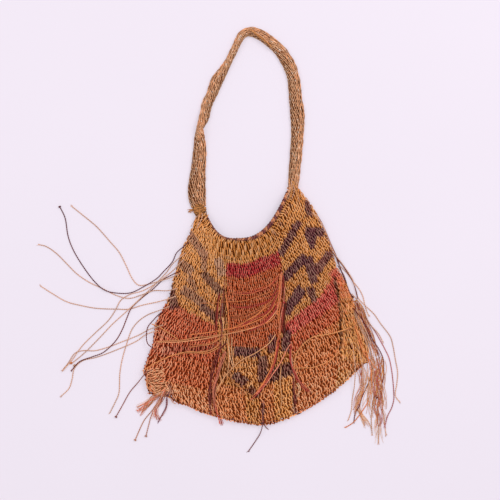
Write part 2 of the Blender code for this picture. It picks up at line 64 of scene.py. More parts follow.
def dye(red, green, blue):
    """A colour, each part from 0 to 255, as the shader's own linear colour."""
    parts = (red / 255.0, green / 255.0, blue / 255.0)
    return np.array([p / 12.92 if p <= 0.04045 else ((p + 0.055) / 1.055) ** 2.4 for p in parts])


def set_inputs(node, inputs):
    """Sets or links a node's inputs, each by its name or its place."""
    for key, value in inputs.items():
        if isinstance(value, bpy.types.NodeSocket):
            node.id_data.links.new(value, node.inputs[key])
        else:
            node.inputs[key].default_value = value


def new_material(name, roughness):
    """A material, its Principled shader, and a function that adds a node and gives one output of it."""
    made = bpy.data.materials.new(name)
    made.use_nodes = True
    shader = made.node_tree.nodes["Principled BSDF"]
    shader.inputs["Roughness"].default_value = roughness

    def add(kind, inputs, output=0, **settings):
        node = made.node_tree.nodes.new("ShaderNode" + kind)
        for key, value in settings.items():
            setattr(node, key, value)
        set_inputs(node, inputs)
        return node.outputs[output]

    return made, shader, add


paper, shader, add = new_material("matte paper", 0.95)
grain = add("TexNoise", {"Vector": add("TexCoord", {}, "Object"), "Scale": 3.0, "Detail": 2.0})
tone = add("Mix", {"Factor": grain, "A": (*dye(171, 164, 173), 1.0), "B": (*dye(176, 169, 178), 1.0)},
           "Result", data_type="RGBA")
set_inputs(shader, {"Base Color": tone, "Emission Color": (*dye(238, 229, 241), 1.0),
                    "Emission Strength": PAPER_GLOW})
bpy.ops.mesh.primitive_plane_add(size=PAPER_SIZE, location=(0.0, 0.0, 0.0))
table_top = bpy.context.object
table_top.name = "paper_table"
table_top.data.materials.append(paper)

world = bpy.data.worlds.new("soft room")
bpy.context.scene.world = world
world.use_nodes = True
set_inputs(world.node_tree.nodes["Background"], {"Color": (1.0, 0.99, 1.0, 1.0), "Strength": ROOM_LIGHT})
for lamp_name, lamp_place, lamp_size, lamp_power in LAMPS:
    bpy.ops.object.light_add(type="AREA", location=lamp_place)
    lamp = bpy.context.object
    lamp.name = lamp_name
    lamp.data.size, lamp.data.energy = lamp_size, lamp_power
    lamp.rotation_euler = (-Vector(lamp_place)).to_track_quat("-Z", "Y").to_euler()

# ------------------------------------------------------------------ the pouch's layers and its shade sheet
# The pouch is looped in the round from one continuous string, so it has a front and a back layer that
# turn into each other at the sides and the hem, and it is open at its U-shaped mouth. Under the loops
# lies a dark sheet that paints the shade in the gaps between them. Sizes are millimetres.
EDGE = 7.0  # the two layers where they turn
EDGE_INSET = 4.5  # how far in from a side the turned edge has its full height
BACK_RISE, BACK_RISE_DEPTH = 0.6, 0.12  # the back of the mouth above the front, and where that fades
BACK_LIFT = 0.3  # the back above the table
SIDE_RISE, HEM_RISE, HEM_START, CROWN_ROUND = 0.16, 0.16, 0.15, 0.7  # how the front rises to its crown
SECTION_COLUMNS = ("down", "left_x", "left_y", "low_x", "low_y", "right_x", "right_y",
                   "left_power", "right_power", "crown")
SECTIONS = (
    (0.000, -65.5, 17.5, -23.5, -17.6, 42.5, 49.0, 3.1, 2.62, 4.5),
    (0.035, -77.0, 13.5, -23.0, -24.6, 53.5, 48.5, 2.45, 2.4, 4.5),
    (0.125, -85.0, -6.0, -21.0, -46.0, 68.0, 30.5, 2.2, 2.2, 4.8),
    (0.250, -97.5, -34.5, -17.0, -76.0, 84.0, 4.0, 2.0, 2.1, 5.2),
    (0.375, -106.5, -65.0, -13.0, -106.0, 95.0, -24.5, 2.0, 2.0, 5.5),
    (0.500, -115.0, -95.5, -9.0, -136.0, 104.5, -53.5, 1.9, 1.9, 5.8),
    (0.625, -129.5, -123.5, -5.0, -166.5, 118.5, -81.0, 1.9, 1.8, 6.0),
    (0.750, -135.5, -154.0, -1.5, -196.5, 130.0, -109.0, 1.8, 1.8, 5.6),
    (0.875, -145.5, -184.5, 2.5, -226.0, 140.0, -139.0, 1.8, 1.7, 4.6),
    (1.000, -140.5, -214.5, 5.0, -256.5, 145.5, -171.5, 1.5, 1.7, 3.0),
)
NECK = 1  # the row where the necks that carry the strap end
FOLD_COLUMNS = ("name", "top_across", "top_down", "foot_across", "foot_down", "half_width", "height")
FOLDS = (
    ("gusset roll", 0.975, 0.45, 0.940, 1.06, 13.0, 5.5),
    ("gusset valley", 0.950, 0.42, 0.882, 1.04, 9.0, -4.0),
    ("left corner bunch", 0.050, 0.84, 0.045, 1.08, 15.0, 4.5),
    ("left string seam", 0.270, 0.20, 0.262, 1.00, 9.0, 1.6),
    ("right string seam", 0.690, 0.20, 0.615, 1.00, 9.0, 1.8),
    ("left gather", 0.160, -0.10, 0.120, 0.40, 9.0, 1.4),
    ("middle gather", 0.450, -0.10, 0.440, 0.34, 10.0, 1.6),
    ("right gather", 0.800, -0.10, 0.830, 0.44, 10.0, 1.8),
    ("slack across the front", 0.330, 0.62, 0.580, 0.72, 16.0, -1.4),
)
FOLD_TOP, FOLD_FOOT = 0.30, 0.12  # shares of a fold's run over which it rises and dies out
NOTCHES = ((-114.0, 7.0, 5.0), (-94.0, 19.0, 3.2))  # where the hem is drawn up: x, half width, rise
NOTCH_START, NOTCH_RUN = 0.80, 0.20  # how far down that starts, and the share over which it grows
SHADE_SHEET_DEPTH, SHADE_SHEET_THICK = 1.5, 1.0  # how far the painted shade sheet lies below the looping, and its own depth


def ease(share):
    """0 at 0 and 1 at 1, level at both, and held there outside."""
    held = np.clip(share, 0.0, 1.0)
    return held * held * (3.0 - 2.0 * held)


def unit(ways):
    """The same directions, each of length 1."""
    return ways / np.maximum(np.linalg.norm(ways, axis=-1, keepdims=True), 1e-9)


def runs_of(line):
    """How far along a line each of its points lies."""
    return np.concatenate([[0.0], np.cumsum(np.linalg.norm(np.diff(line, axis=0), axis=1))])


def points_at(at, runs, line):
    """The points that lie at some distances along a line whose own points lie at runs."""
    return np.stack([np.interp(at, runs, column) for column in line.T], axis=1)


def section_at(down):
    """The columns of SECTIONS at a depth: straight in the necks, and a smooth curve below them."""
    rows = np.array(SECTIONS)
    if down <= rows[NECK][0]:
        values = rows[0] + (rows[NECK] - rows[0]) * max(down, 0.0) / rows[NECK][0]
        return dict(zip(SECTION_COLUMNS, values))
    rows = rows[NECK:]
    last = len(rows) - 2
    at = next((i for i in range(last) if down <= rows[i + 1][0]), last)
    before, start, end, after = rows[max(at - 1, 0)], rows[at], rows[at + 1], rows[min(at + 2, last + 1)]
    span = end[0] - start[0]
    t = (down - start[0]) / span
    leave = span * (end - before) / (end[0] - before[0])
    arrive = span * (after - start) / (after[0] - start[0])
    values = (start + t * leave + t * t * (3 * (end - start) - 2 * leave - arrive)
              + t ** 3 * (2 * (start - end) + leave + arrive))
    return dict(zip(SECTION_COLUMNS, values))


def section_line(row, steps=40):
    """Points along a section, from its left edge through its lowest point to its right edge."""
    low = np.array((row["low_x"], row["low_y"]))
    away = 1.0 - np.arange(steps + 1) / steps
    halves = []
    for side in ("left", "right"):
        x, y = row[side + "_x"] - low[0], row[side + "_y"] - low[1]
        halves.append(low + np.stack([x * away, y * away ** row[side + "_power"]], axis=1))
    return np.vstack([halves[0], halves[1][-2::-1]])


class Layer:
    """A surface that strands follow: points by across (0 to 1) and down (0 to 1), and its way out."""

    def __init__(self, points, outward):
        self.points = points
        self.normals = unit(np.cross(np.gradient(points, axis=0), np.gradient(points, axis=1)) * outward)
        self.across_lengths = np.linalg.norm(np.diff(points, axis=1), axis=2).sum(axis=1)
        self.down_length = np.linalg.norm(np.diff(points[:, points.shape[1] // 2], axis=0), axis=1).sum()

    def across_length(self, down):
        count = len(self.across_lengths) - 1
        return np.interp(down * count, np.arange(count + 1), self.across_lengths)

    def at(self, across, down, lift):
        """Points on the layer, lifted outwards, and the outward normals there."""
        rows, columns = self.points.shape[0] - 1, self.points.shape[1] - 1
        x, y = np.asarray(across) * columns, np.asarray(down) * rows
        i = np.clip(x.astype(int), 0, columns - 1)
        j = np.clip(y.astype(int), 0, rows - 1)
        fx, fy = (x - i)[..., None], (y - j)[..., None]

        def blend(grid):
            upper = grid[j, i] * (1 - fx) + grid[j, i + 1] * fx
            lower = grid[j + 1, i] * (1 - fx) + grid[j + 1, i + 1] * fx
            return upper * (1 - fy) + lower * fy

        spots = blend(self.points)
        fx, fy = np.clip(fx, 0.0, 1.0), np.clip(fy, 0.0, 1.0)
        normals = unit(blend(self.normals))
        return spots + normals * np.asarray(lift)[..., None], normals


def pouch_layers(rows=240, columns=330):
    """The front and the back layer of the pouch."""
    across = np.arange(columns + 1) / columns
    front, back = np.zeros((rows + 1, columns + 1, 3)), np.zeros((rows + 1, columns + 1, 3))
    depth = SECTIONS[0][4] - SECTIONS[-1][4]
    for j in range(rows + 1):
        down = j / rows
        row = section_at(down)
        line = section_line(row)
        runs = runs_of(line)
        front[j, :, :2] = points_at(across * runs[-1], runs, line)
        for notch_x, notch_width, notch_rise in NOTCHES:
            drawn_up = np.exp(-((front[j, :, 0] - notch_x) / notch_width) ** 2) * ease(
                (down - NOTCH_START) / NOTCH_RUN)
            front[j, :, 1] += notch_rise * drawn_up
        height = row["crown"] * ease(np.minimum(across, 1 - across) / SIDE_RISE) ** CROWN_ROUND
        height *= ease((1.0 - down) / HEM_RISE + HEM_START)
        for values in FOLDS:
            fold = dict(zip(FOLD_COLUMNS, values))
            run = (down - fold["top_down"]) / (fold["foot_down"] - fold["top_down"])
            if 0.0 <= run <= 1.0:
                middle = fold["top_across"] + (fold["foot_across"] - fold["top_across"]) * run
                away = np.minimum(abs(across - middle) * runs[-1] / fold["half_width"], 1.0)
                ends = ease(run / FOLD_TOP) * ease((1.0 - run) / FOLD_FOOT)
                height += fold["height"] * ends * (0.5 + 0.5 * np.cos(math.pi * away))
        height = np.maximum(EDGE, EDGE + height)
        inwards = np.minimum(np.minimum(across, 1 - across) * runs[-1], (1.0 - down) * depth)
        turn = np.sqrt(1.0 - (1.0 - np.clip(inwards / EDGE_INSET, 0.0, 1.0)) ** 2)
        front[j, :, 2] = EDGE / 2 + (height - EDGE / 2) * turn
        back[j] = front[j]
        back[j, :, 1] += BACK_RISE * 4 * across * (1 - across) * max(0.0, 1.0 - down / BACK_RISE_DEPTH)
        back[j, :, 2] = EDGE / 2 * (1.0 - turn) + BACK_LIFT
    return Layer(front, 1.0), Layer(back, -1.0)


def to_object(name, points, faces, material):
    """A smooth-shaded mesh object at the origin. points are in millimetres."""
    mesh = bpy.data.meshes.new(name)
    mesh.from_pydata((np.asarray(points) * MM).tolist(), [], faces)
    mesh.shade_smooth()
    mesh.materials.append(material)
    made = bpy.data.objects.new(name, mesh)
    bpy.context.scene.collection.objects.link(made)
    return made


def pouch_shade_sheet(material, rows=60, columns=80):
    """Both layers of the dark sheet that paints the shade between the loops, as one closed shell, open at the mouth.
    """
    across, down = np.meshgrid(np.arange(columns + 1) / columns, np.arange(rows + 1) / rows)
    mesh = bmesh.new()
    shells = []
    for depth in (SHADE_SHEET_DEPTH, SHADE_SHEET_DEPTH + SHADE_SHEET_THICK):
        over = front_layer.at(across, down, np.full(across.shape, -depth))[0]
        under = back_layer.at(across, down, np.full(across.shape, -depth))[0]
        for side in (0, columns):
            over[:, side, 2] = under[:, side, 2] = EDGE / 2
            under[:, side, :2] = over[:, side, :2]
        over[rows, :, 2] = under[rows, :, 2] = EDGE / 2
        under[rows, :, :2] = over[rows, :, :2]
        top = [[mesh.verts.new(p) for p in line] for line in over * MM]
        low = [[top[j][i] if i in (0, columns) or j == rows else mesh.verts.new(under[j, i] * MM)
                for i in range(columns + 1)] for j in range(rows + 1)]
        shells.append((top, low))
        for grid in (top, low):
            for a, b in zip(grid, grid[1:]):
                for i in range(columns):
                    mesh.faces.new(dict.fromkeys((a[i], a[i + 1], b[i + 1], b[i])))
    for outer, inner in zip(*shells):
        for i in range(columns):
            mesh.faces.new((outer[0][i], outer[0][i + 1], inner[0][i + 1], inner[0][i]))
    bmesh.ops.recalc_face_normals(mesh, faces=mesh.faces)
    if mesh.calc_volume(signed=True) < 0.0:
        bmesh.ops.reverse_faces(mesh, faces=mesh.faces)
    made = to_object("pouch_shade_sheet", [], [], material)
    mesh.to_mesh(made.data)
    mesh.free()
    made.data.shade_smooth()
    return made


def dye_mesh(made, colours):
    """Gives a mesh its dye, a colour for each point or one for all."""
    colours = np.broadcast_to(colours, (len(made.data.vertices), 3))
    tint = made.data.color_attributes.new(name="dye", type="FLOAT_COLOR", domain="POINT")
    tint.data.foreach_set("color", np.hstack([colours, np.ones((len(colours), 1))]).ravel())


front_layer, back_layer = pouch_layers()
# A dark material that paints the shade in the gaps between the loops: their dye at a tenth to a third of its
# strength, and warmer.
dim, shader, add = new_material("painted gap shade", 0.95)
mottle = add("TexNoise", {"Vector": add("TexCoord", {}, "Object"), "Scale": 300.0, "Detail": 3.0})
shade = add("MapRange", {"Value": mottle, "From Min": 0.35, "From Max": 0.70, "To Min": 0.10, "To Max": 0.32})
deep = add("VectorMath", {"Vector": add("VertexColor", {}, layer_name="dye"), "Scale": shade}, operation="SCALE")
warm = add("VectorMath", {0: deep, 1: (1.0, 0.62, 0.40)}, operation="MULTIPLY")
set_inputs(shader, {"Base Color": warm, "Specular IOR Level": 0.0})
shade_sheet = pouch_shade_sheet(dim)
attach(shade_sheet, "root")
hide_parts("bag_body")

# ------------------------------------------------------------------ looping of the pouch's front
# Every stitch is a tall narrow loop of the one string, in rows that follow the mouth: its near leg climbs
# to the left, hooks over the row before, and comes down behind. The string is a hand-rolled two-ply of
# plant fibre about 1.4 mm thick, dyed in lengths, so the pattern's edges are ragged.
UP = np.array((0.0, 0.0, 1.0))
FRONT_PITCH = ((0.00, 2.3), (0.08, 2.8), (0.55, 2.9), (0.82, 3.8), (1.00, 4.1))  # down, mm a stitch
FRONT_STRAND = ((0.00, 1.15), (0.50, 1.25), (0.82, 1.45), (1.00, 1.55))  # down, string's diameter
ROW_STEP = 4.3
MOUTH_ROWS = (5.5, 9.0, 8.5, 6.0)  # the first rows are longer, drawn up by the mouth cord
ROW_OVERLAP = 1.35  # a stitch's height in row steps
STITCH = (  # across, up and out as shares of its width, its height and the relief, and how lit it is
    (0.02, 0.04, -0.80, 0.34),
    (0.52, 0.00, -0.30, 0.48),
    (0.82, 0.12, 0.50, 0.92),
    (0.74, 0.42, 1.00, 1.36),
    (0.46, 0.78, 1.05, 1.46),
    (0.30, 0.98, 0.55, 1.15),
    (0.12, 0.95, -0.20, 0.70),
    (0.10, 0.72, -0.85, 0.36),
    (0.28, 0.34, -1.10, 0.26),
    (0.62, 0.08, -1.10, 0.26),
)
QUICK_STITCH = STITCH[1::2] + STITCH[8:9]
HEM_LOOPS, HEM_STEPS, HEM_RADIUS = 92, 800, 0.75  # the loops that stand out along the hem
HEM_LIGHT, LAST_ROW_LIGHT = 0.24, 0.85  # how much brighter the hem is, and the least light of its last row
GATHER, GATHER_REACH, GATHER_HIGH = 9.4, 24.0, 0.9  # the ridges under the mouth: pitch, reach down and height
LEAN, LEAN_VARIES, PLACE_VARIES, HEIGHT_VARIES = 0.45, 0.24, 0.13, 0.11  # in stitches
ROW_VARIES, LIFT_VARIES, STRAND_VARIES = 0.50, 0.14, 0.07  # in millimetres, and a share of the diameter
SHOULDER, SLACK = 0.68, 0.60  # the cloth right of this share across is looser, and by how much
PATCH_LOW, PATCH_GAP = 3.0, 0.4  # the least height of what a fold lies on, and its height above that
TABLE_GAP = 0.05  # nothing sinks into the table

OCHRE, DEEP_OCHRE, BROWN = dye(238, 155, 80), dye(218, 130, 64), dye(142, 88, 74)
PALE_OCHRE, GREY_BROWN, PALE_GREY = dye(255, 170, 90), dye(180, 120, 98), dye(206, 152, 130)
PURPLE, PLUM = dye(106, 46, 68), dye(124, 60, 74)
RED, RUST, CORAL = dye(202, 44, 54), dye(214, 92, 46), dye(226, 82, 78)
ORANGE_RED, LIGHT_RUST, ORANGE_BROWN = dye(226, 98, 62), dye(232, 112, 68), dye(240, 134, 78)
# The first of these paints the shade in deep creases and hollows; PALE is the tone towards which painted highlights
# go.
SHADE_BROWN, PALE = dye(84, 42, 24), dye(255, 216, 176)

AREA_COLUMNS = ("name", "colour", "strength", "corners")
AREAS = (
    ("left yoke", PALE_OCHRE, 0.85, ((-120, 30), (-50, 0), (-38, -60), (-42, -150), (-150, -112))),
    ("lower yoke", DEEP_OCHRE, 0.30, ((-150, -60), (150, -60), (150, -270), (-150, -270))),
    ("left of the middle", ORANGE_BROWN, 0.75, ((-56, -204), (-14, -210), (-12, -270), (-56, -270))),
    ("middle seam", ORANGE_BROWN, 0.65, ((4, -206), (22, -202), (25, -270), (4, -270))),
    ("right of the middle", PALE_OCHRE, 0.85, ((22, -190), (48, -186), (52, -246), (24, -250))),
    # painted shadow of the loose strings that run down the left seam
    ("by the left seam", PLUM, 0.25, ((-46, -158), (-30, -160), (-31, -192), (-46, -206))),
    ("rust panel", RUST, 0.95, ((-39, -52), (33, -42), (37, -100), (30, -158), (-34, -156), (-39, -100))),
    ("left orange-red", ORANGE_RED, 0.95, ((-150, -99), (-121, -101), (-96, -106), (-52, -129), (-46, -160),
        (-49, -182), (-90, -170), (-150, -166))),
    ("left below it", LIGHT_RUST, 0.90, ((-150, -166), (-90, -170), (-49, -182), (-52, -214), (-150, -194))),
    ("left hem", ORANGE_BROWN, 0.85, ((-150, -194), (-52, -214), (-44, -270), (-150, -250))),
    ("right lower", ORANGE_BROWN, 0.85, ((46, -146), (104, -104), (107, -180), (100, -230), (52, -262), (46, -200))),
    ("gusset", ORANGE_BROWN, 0.55, ((106, -80), (160, -100), (160, -190), (107, -185))),
)
BAR_COLUMNS = ("name", "colour", "strength", "x0", "y0", "x1", "y1", "width0", "width1")
BARS = (
    ("left 1", GREY_BROWN, 0.85, -89, -9, -64, -41, 12, 10),
    ("left 2", GREY_BROWN, 0.75, -66, -40, -68, -58, 8, 8),
    ("left 3", GREY_BROWN, 0.8, -105, -44, -82, -60, 12, 12),
    ("left 4", PALE_GREY, 0.8, -50, -42, -43, -64, 11, 11),
    ("left 5", BROWN, 0.9, -69, -60, -45, -87, 10, 11),
    ("left 6", GREY_BROWN, 0.7, -87, -66, -77, -83, 9, 9),
    ("left 7", GREY_BROWN, 0.85, -95, -81, -66, -102, 12, 11),
    ("left 8", PURPLE, 0.8, -72, -103, -49, -120, 10, 10),
    ("left edge", PURPLE, 0.82, -112, -74, -105, -108, 6, 12),
    ("right 0", PURPLE, 0.85, 66, 33, 69, 12, 9, 8),
    ("right 1", PURPLE, 0.9, 31, -38, 56, 6, 10, 10),
    ("arrow head", PURPLE, 0.95, 63, -7, 88, -9, 14, 13),
    ("arrow point", PURPLE, 0.95, 70, -13, 72, -30, 16, 4),
    ("fleck 1", PLUM, 0.6, 42, 27, 46, 24, 5, 4),
    ("fleck 2", PLUM, 0.5, 36, 19, 39, 15, 4, 4),
    ("fleck 3", PLUM, 0.6, 30, 4, 34, 0, 6, 5),
    ("fleck 4", PLUM, 0.5, 20, -8, 26, -12, 5, 5),
    ("right 2", PURPLE, 0.95, 34, -70, 64, -39, 12, 12),
    ("vee left", PURPLE, 0.92, 66, -40, 75, -74, 14, 9),
    ("vee right", PLUM, 0.9, 96, -35, 75, -62, 12, 12),
    ("right 3", PURPLE, 0.95, 36, -113, 60, -81, 13, 14),
    ("right 4", PURPLE, 0.85, 69, -79, 75, -99, 10, 9),
    ("red band left", RED, 1.0, -38, -56, -12, -58, 16, 17),
    ("red band right", RED, 1.0, -14, -58, 31, -42, 17, 17),
    ("coral band", CORAL, 0.95, 39, -136, 105, -88, 17, 20),
    ("coral head", CORAL, 0.85, 86, -101, 107, -65, 16, 13),
    ("coral edge", CORAL, 0.8, 98, -58, 112, -74, 13, 10),
    ("coral foot", ORANGE_RED, 0.85, 44, -155, 109, -107, 18, 18),
    ("purple dots", PLUM, 0.3, -121, -161, -52, -157, 9, 9),
    ("dark 1", PURPLE, 0.9, -29, -162, 4, -164, 12, 12),
    ("dark 2", PURPLE, 0.8, 8, -168, 9, -203, 12, 14),
    ("dark 3", PURPLE, 0.85, 14, -196, 48, -182, 17, 17),
    ("dark 4", PURPLE, 0.8, 22, -141, 20, -164, 12, 12),
    ("dark 5", PURPLE, 0.9, 40, -134, 38, -162, 11, 11),
    ("dark 6", PURPLE, 0.85, -30, -191, -12, -203, 13, 13),
    ("dark 7", PURPLE, 0.75, -10, -208, 3, -221, 10, 9),
    ("dark 8", PLUM, 0.8, 49, -208, 49, -243, 4, 5),
    ("dark 9", PLUM, 0.8, 9, -225, 9, -257, 3, 3),
    # painted shade in the deep crease beside the gusset
    ("valley 1", SHADE_BROWN, 0.8, 101, -65, 109, -99, 3, 4),
    ("valley 2", SHADE_BROWN, 0.8, 109, -96, 109, -164, 4, 3),
    ("corner shadow", PLUM, 0.6, -113, -204, -109, -224, 5, 5),
)
RAGGED = 1.2  # length over which a bar's edge fades


def front_dye(x, y):
    """The string's colour at places on the front, in millimetres, with ragged edges, and shade painted into the
    gusset's crease, the left corner and under the strings by the left seam.
    """
    colours = np.tile(OCHRE, (len(x), 1))

    def mix(colour, share):
        colours[:] = colours * (1 - share[:, None]) + colour * share[:, None]

    for values in AREAS:
        area = dict(zip(AREA_COLUMNS, values))
        inside = np.zeros(len(x), bool)
        corners = area["corners"]
        for (x0, y0), (x1, y1) in zip(corners, corners[1:] + corners[:1]):
            crosses = (y0 > y) != (y1 > y)
            inside ^= crosses & (x < (x1 - x0) * (y - y0) / ((y1 - y0) or 1e-9) + x0)
        mix(area["colour"], inside * area["strength"])
    for values in BARS:
        bar = dict(zip(BAR_COLUMNS, values))
        run = np.array((bar["x1"] - bar["x0"], bar["y1"] - bar["y0"]), float)
        share = ((x - bar["x0"]) * run[0] + (y - bar["y0"]) * run[1]) / (run @ run)
        away = abs((x - bar["x0"]) * run[1] - (y - bar["y0"]) * run[0]) / np.hypot(*run)
        half = (bar["width0"] + (bar["width1"] - bar["width0"]) * share) / 2
        beyond = np.maximum(-share, share - 1.0) * np.hypot(*run)
        edge = np.clip(0.5 - np.maximum(away - half, beyond) / RAGGED, 0.0, 1.0)
        mix(bar["colour"], edge * bar["strength"])
    return colours


class Strands:
    """Round strands gathered into one mesh, with their colour as dye and their run as a UV map."""

    def __init__(self, sides):
        self.sides, self.count = sides, 0
        self.points, self.colours, self.quads, self.caps, self.maps = [], [], [], [], []

    def add(self, centres, radii, colours, ups=UP):
        """A strand through centres, in millimetres. ups say which way its seam faces."""
        sides, rings = self.sides, len(centres)
        along = unit(np.gradient(centres, axis=0))
        across = unit(np.cross(along, ups))
        over = np.cross(across, along)
        angles = 2 * math.pi * (np.arange(sides) + 0.5) / sides
        ring = (np.cos(angles)[None, :, None] * across[:, None] + np.sin(angles)[None, :, None] * over[:, None])
        radii = np.broadcast_to(radii, rings)
        points = (centres[:, None] + ring * radii[:, None, None]).reshape(-1, 3)
        points[:, 2] = np.maximum(points[:, 2], TABLE_GAP)
        self.points.append(points)
        self.colours.append(np.repeat(np.broadcast_to(colours, (rings, 3)), sides, axis=0))
        first = self.count + np.arange(rings - 1)[:, None] * sides
        a, b = first + np.arange(sides)[None], first + (np.arange(sides)[None] + 1) % sides
        self.quads.append(np.stack([a, a + sides, b + sides, b], axis=2).reshape(-1, 4))
        run = runs_of(centres)
        u0, u1 = np.repeat(run[:-1], sides), np.repeat(run[1:], sides)
        v0 = np.tile(np.arange(sides) / sides, rings - 1)
        v1 = v0 + 1.0 / sides
        self.maps.append(np.stack([u0, v0, u1, v0, u1, v1, u0, v1], axis=1).reshape(-1, 2))
        self.caps.append(tuple(range(self.count, self.count + sides)))
        self.count += rings * sides
        self.caps.append(tuple(range(self.count - 1, self.count - sides - 1, -1)))

    def finish(self, name, material):
        quads = np.concatenate(self.quads)
        made = to_object(name, np.concatenate(self.points), quads.tolist() + self.caps, material)
        dye_mesh(made, np.concatenate(self.colours))
        runs = made.data.uv_layers.new(name="run")
        maps = np.zeros((len(made.data.loops), 2))
        maps[:len(quads) * 4] = np.concatenate(self.maps)
        runs.data.foreach_set("uv", maps.ravel())
        return made


def string_finish(name, ply_pitch, ply_depth):
    """Dyed fibre string: its dye varies along it, and its plies show as slanting ridges."""
    made, shader, add = new_material(name, 0.88)
    place = add("TexCoord", {}, "Object")
    patches = add("TexNoise", {"Vector": place, "Scale": 900.0, "Detail": 2.0})
    fibres = add("TexNoise", {"Vector": place, "Scale": 3500.0, "Detail": 2.0})
    both = add("Math", {0: patches, 1: fibres}, operation="ADD")
    level = add("MapRange", {"Value": both, "From Min": 0.7, "From Max": 1.3, "To Min": 0.80, "To Max": 1.22})
    grey = add("CombineColor", {"Red": level, "Green": level, "Blue": level})
    tint = add("VertexColor", {}, layer_name="dye")
    mixed = add("Mix", {"Factor": 1.0, "A": tint, "B": grey}, "Result", data_type="RGBA", blend_type="MULTIPLY")
    along = add("SeparateXYZ", {"Vector": add("UVMap", {}, uv_map="run")}, "X")
    turn = add("Math", {0: along, 1: 1.0 / ply_pitch}, operation="MULTIPLY")
    phase = add("Math", {0: turn, 1: along.node.outputs["Y"]}, operation="ADD")
    angle = add("Math", {0: phase, 1: 4.0 * math.pi}, operation="MULTIPLY")
    ridge = add("Math", {0: angle}, operation="SINE")
    fuzz = add("Math", {0: ridge, 1: 0.5, 2: fibres}, operation="MULTIPLY_ADD")
    bump = add("Bump", {"Height": fuzz, "Strength": 0.6, "Distance": ply_depth * MM})
    set_inputs(shader, {"Base Color": mixed, "Normal": bump, "Specular IOR Level": 0.12})
    return made


def row_steps(layer, first_rows, step, reach=1.6):
    """Each row's number, height and distance down in millimetres, and how many rows there are."""
    rows = []
    first_rows = list(first_rows)
    while reach < layer.down_length - step * 0.4:
        high = first_rows.pop(0) if first_rows else step
        rows.append((len(rows), high, reach + high / 2))
        reach += high
    return [(*row, len(rows)) for row in rows]


def lit(colours, bright):
    """Dyes as they look where the string is dim, which makes them warmer, or lit, which makes them paler."""
    dull = 1.0 - np.minimum(bright, 1.0)
    fair = 0.6 + 0.4 * np.clip(colours[:, 1:2] / OCHRE[1], 0.0, 1.0)
    glint = PALE * fair + colours * 1.3 * (1.0 - fair)
    dimmed = colours * (1.0 - dull) * (1.0 - dull * np.array((0.0, 0.44, 0.74)))
    return dimmed + (glint - colours) * np.maximum(bright - 1.0, 0.0) * 0.60


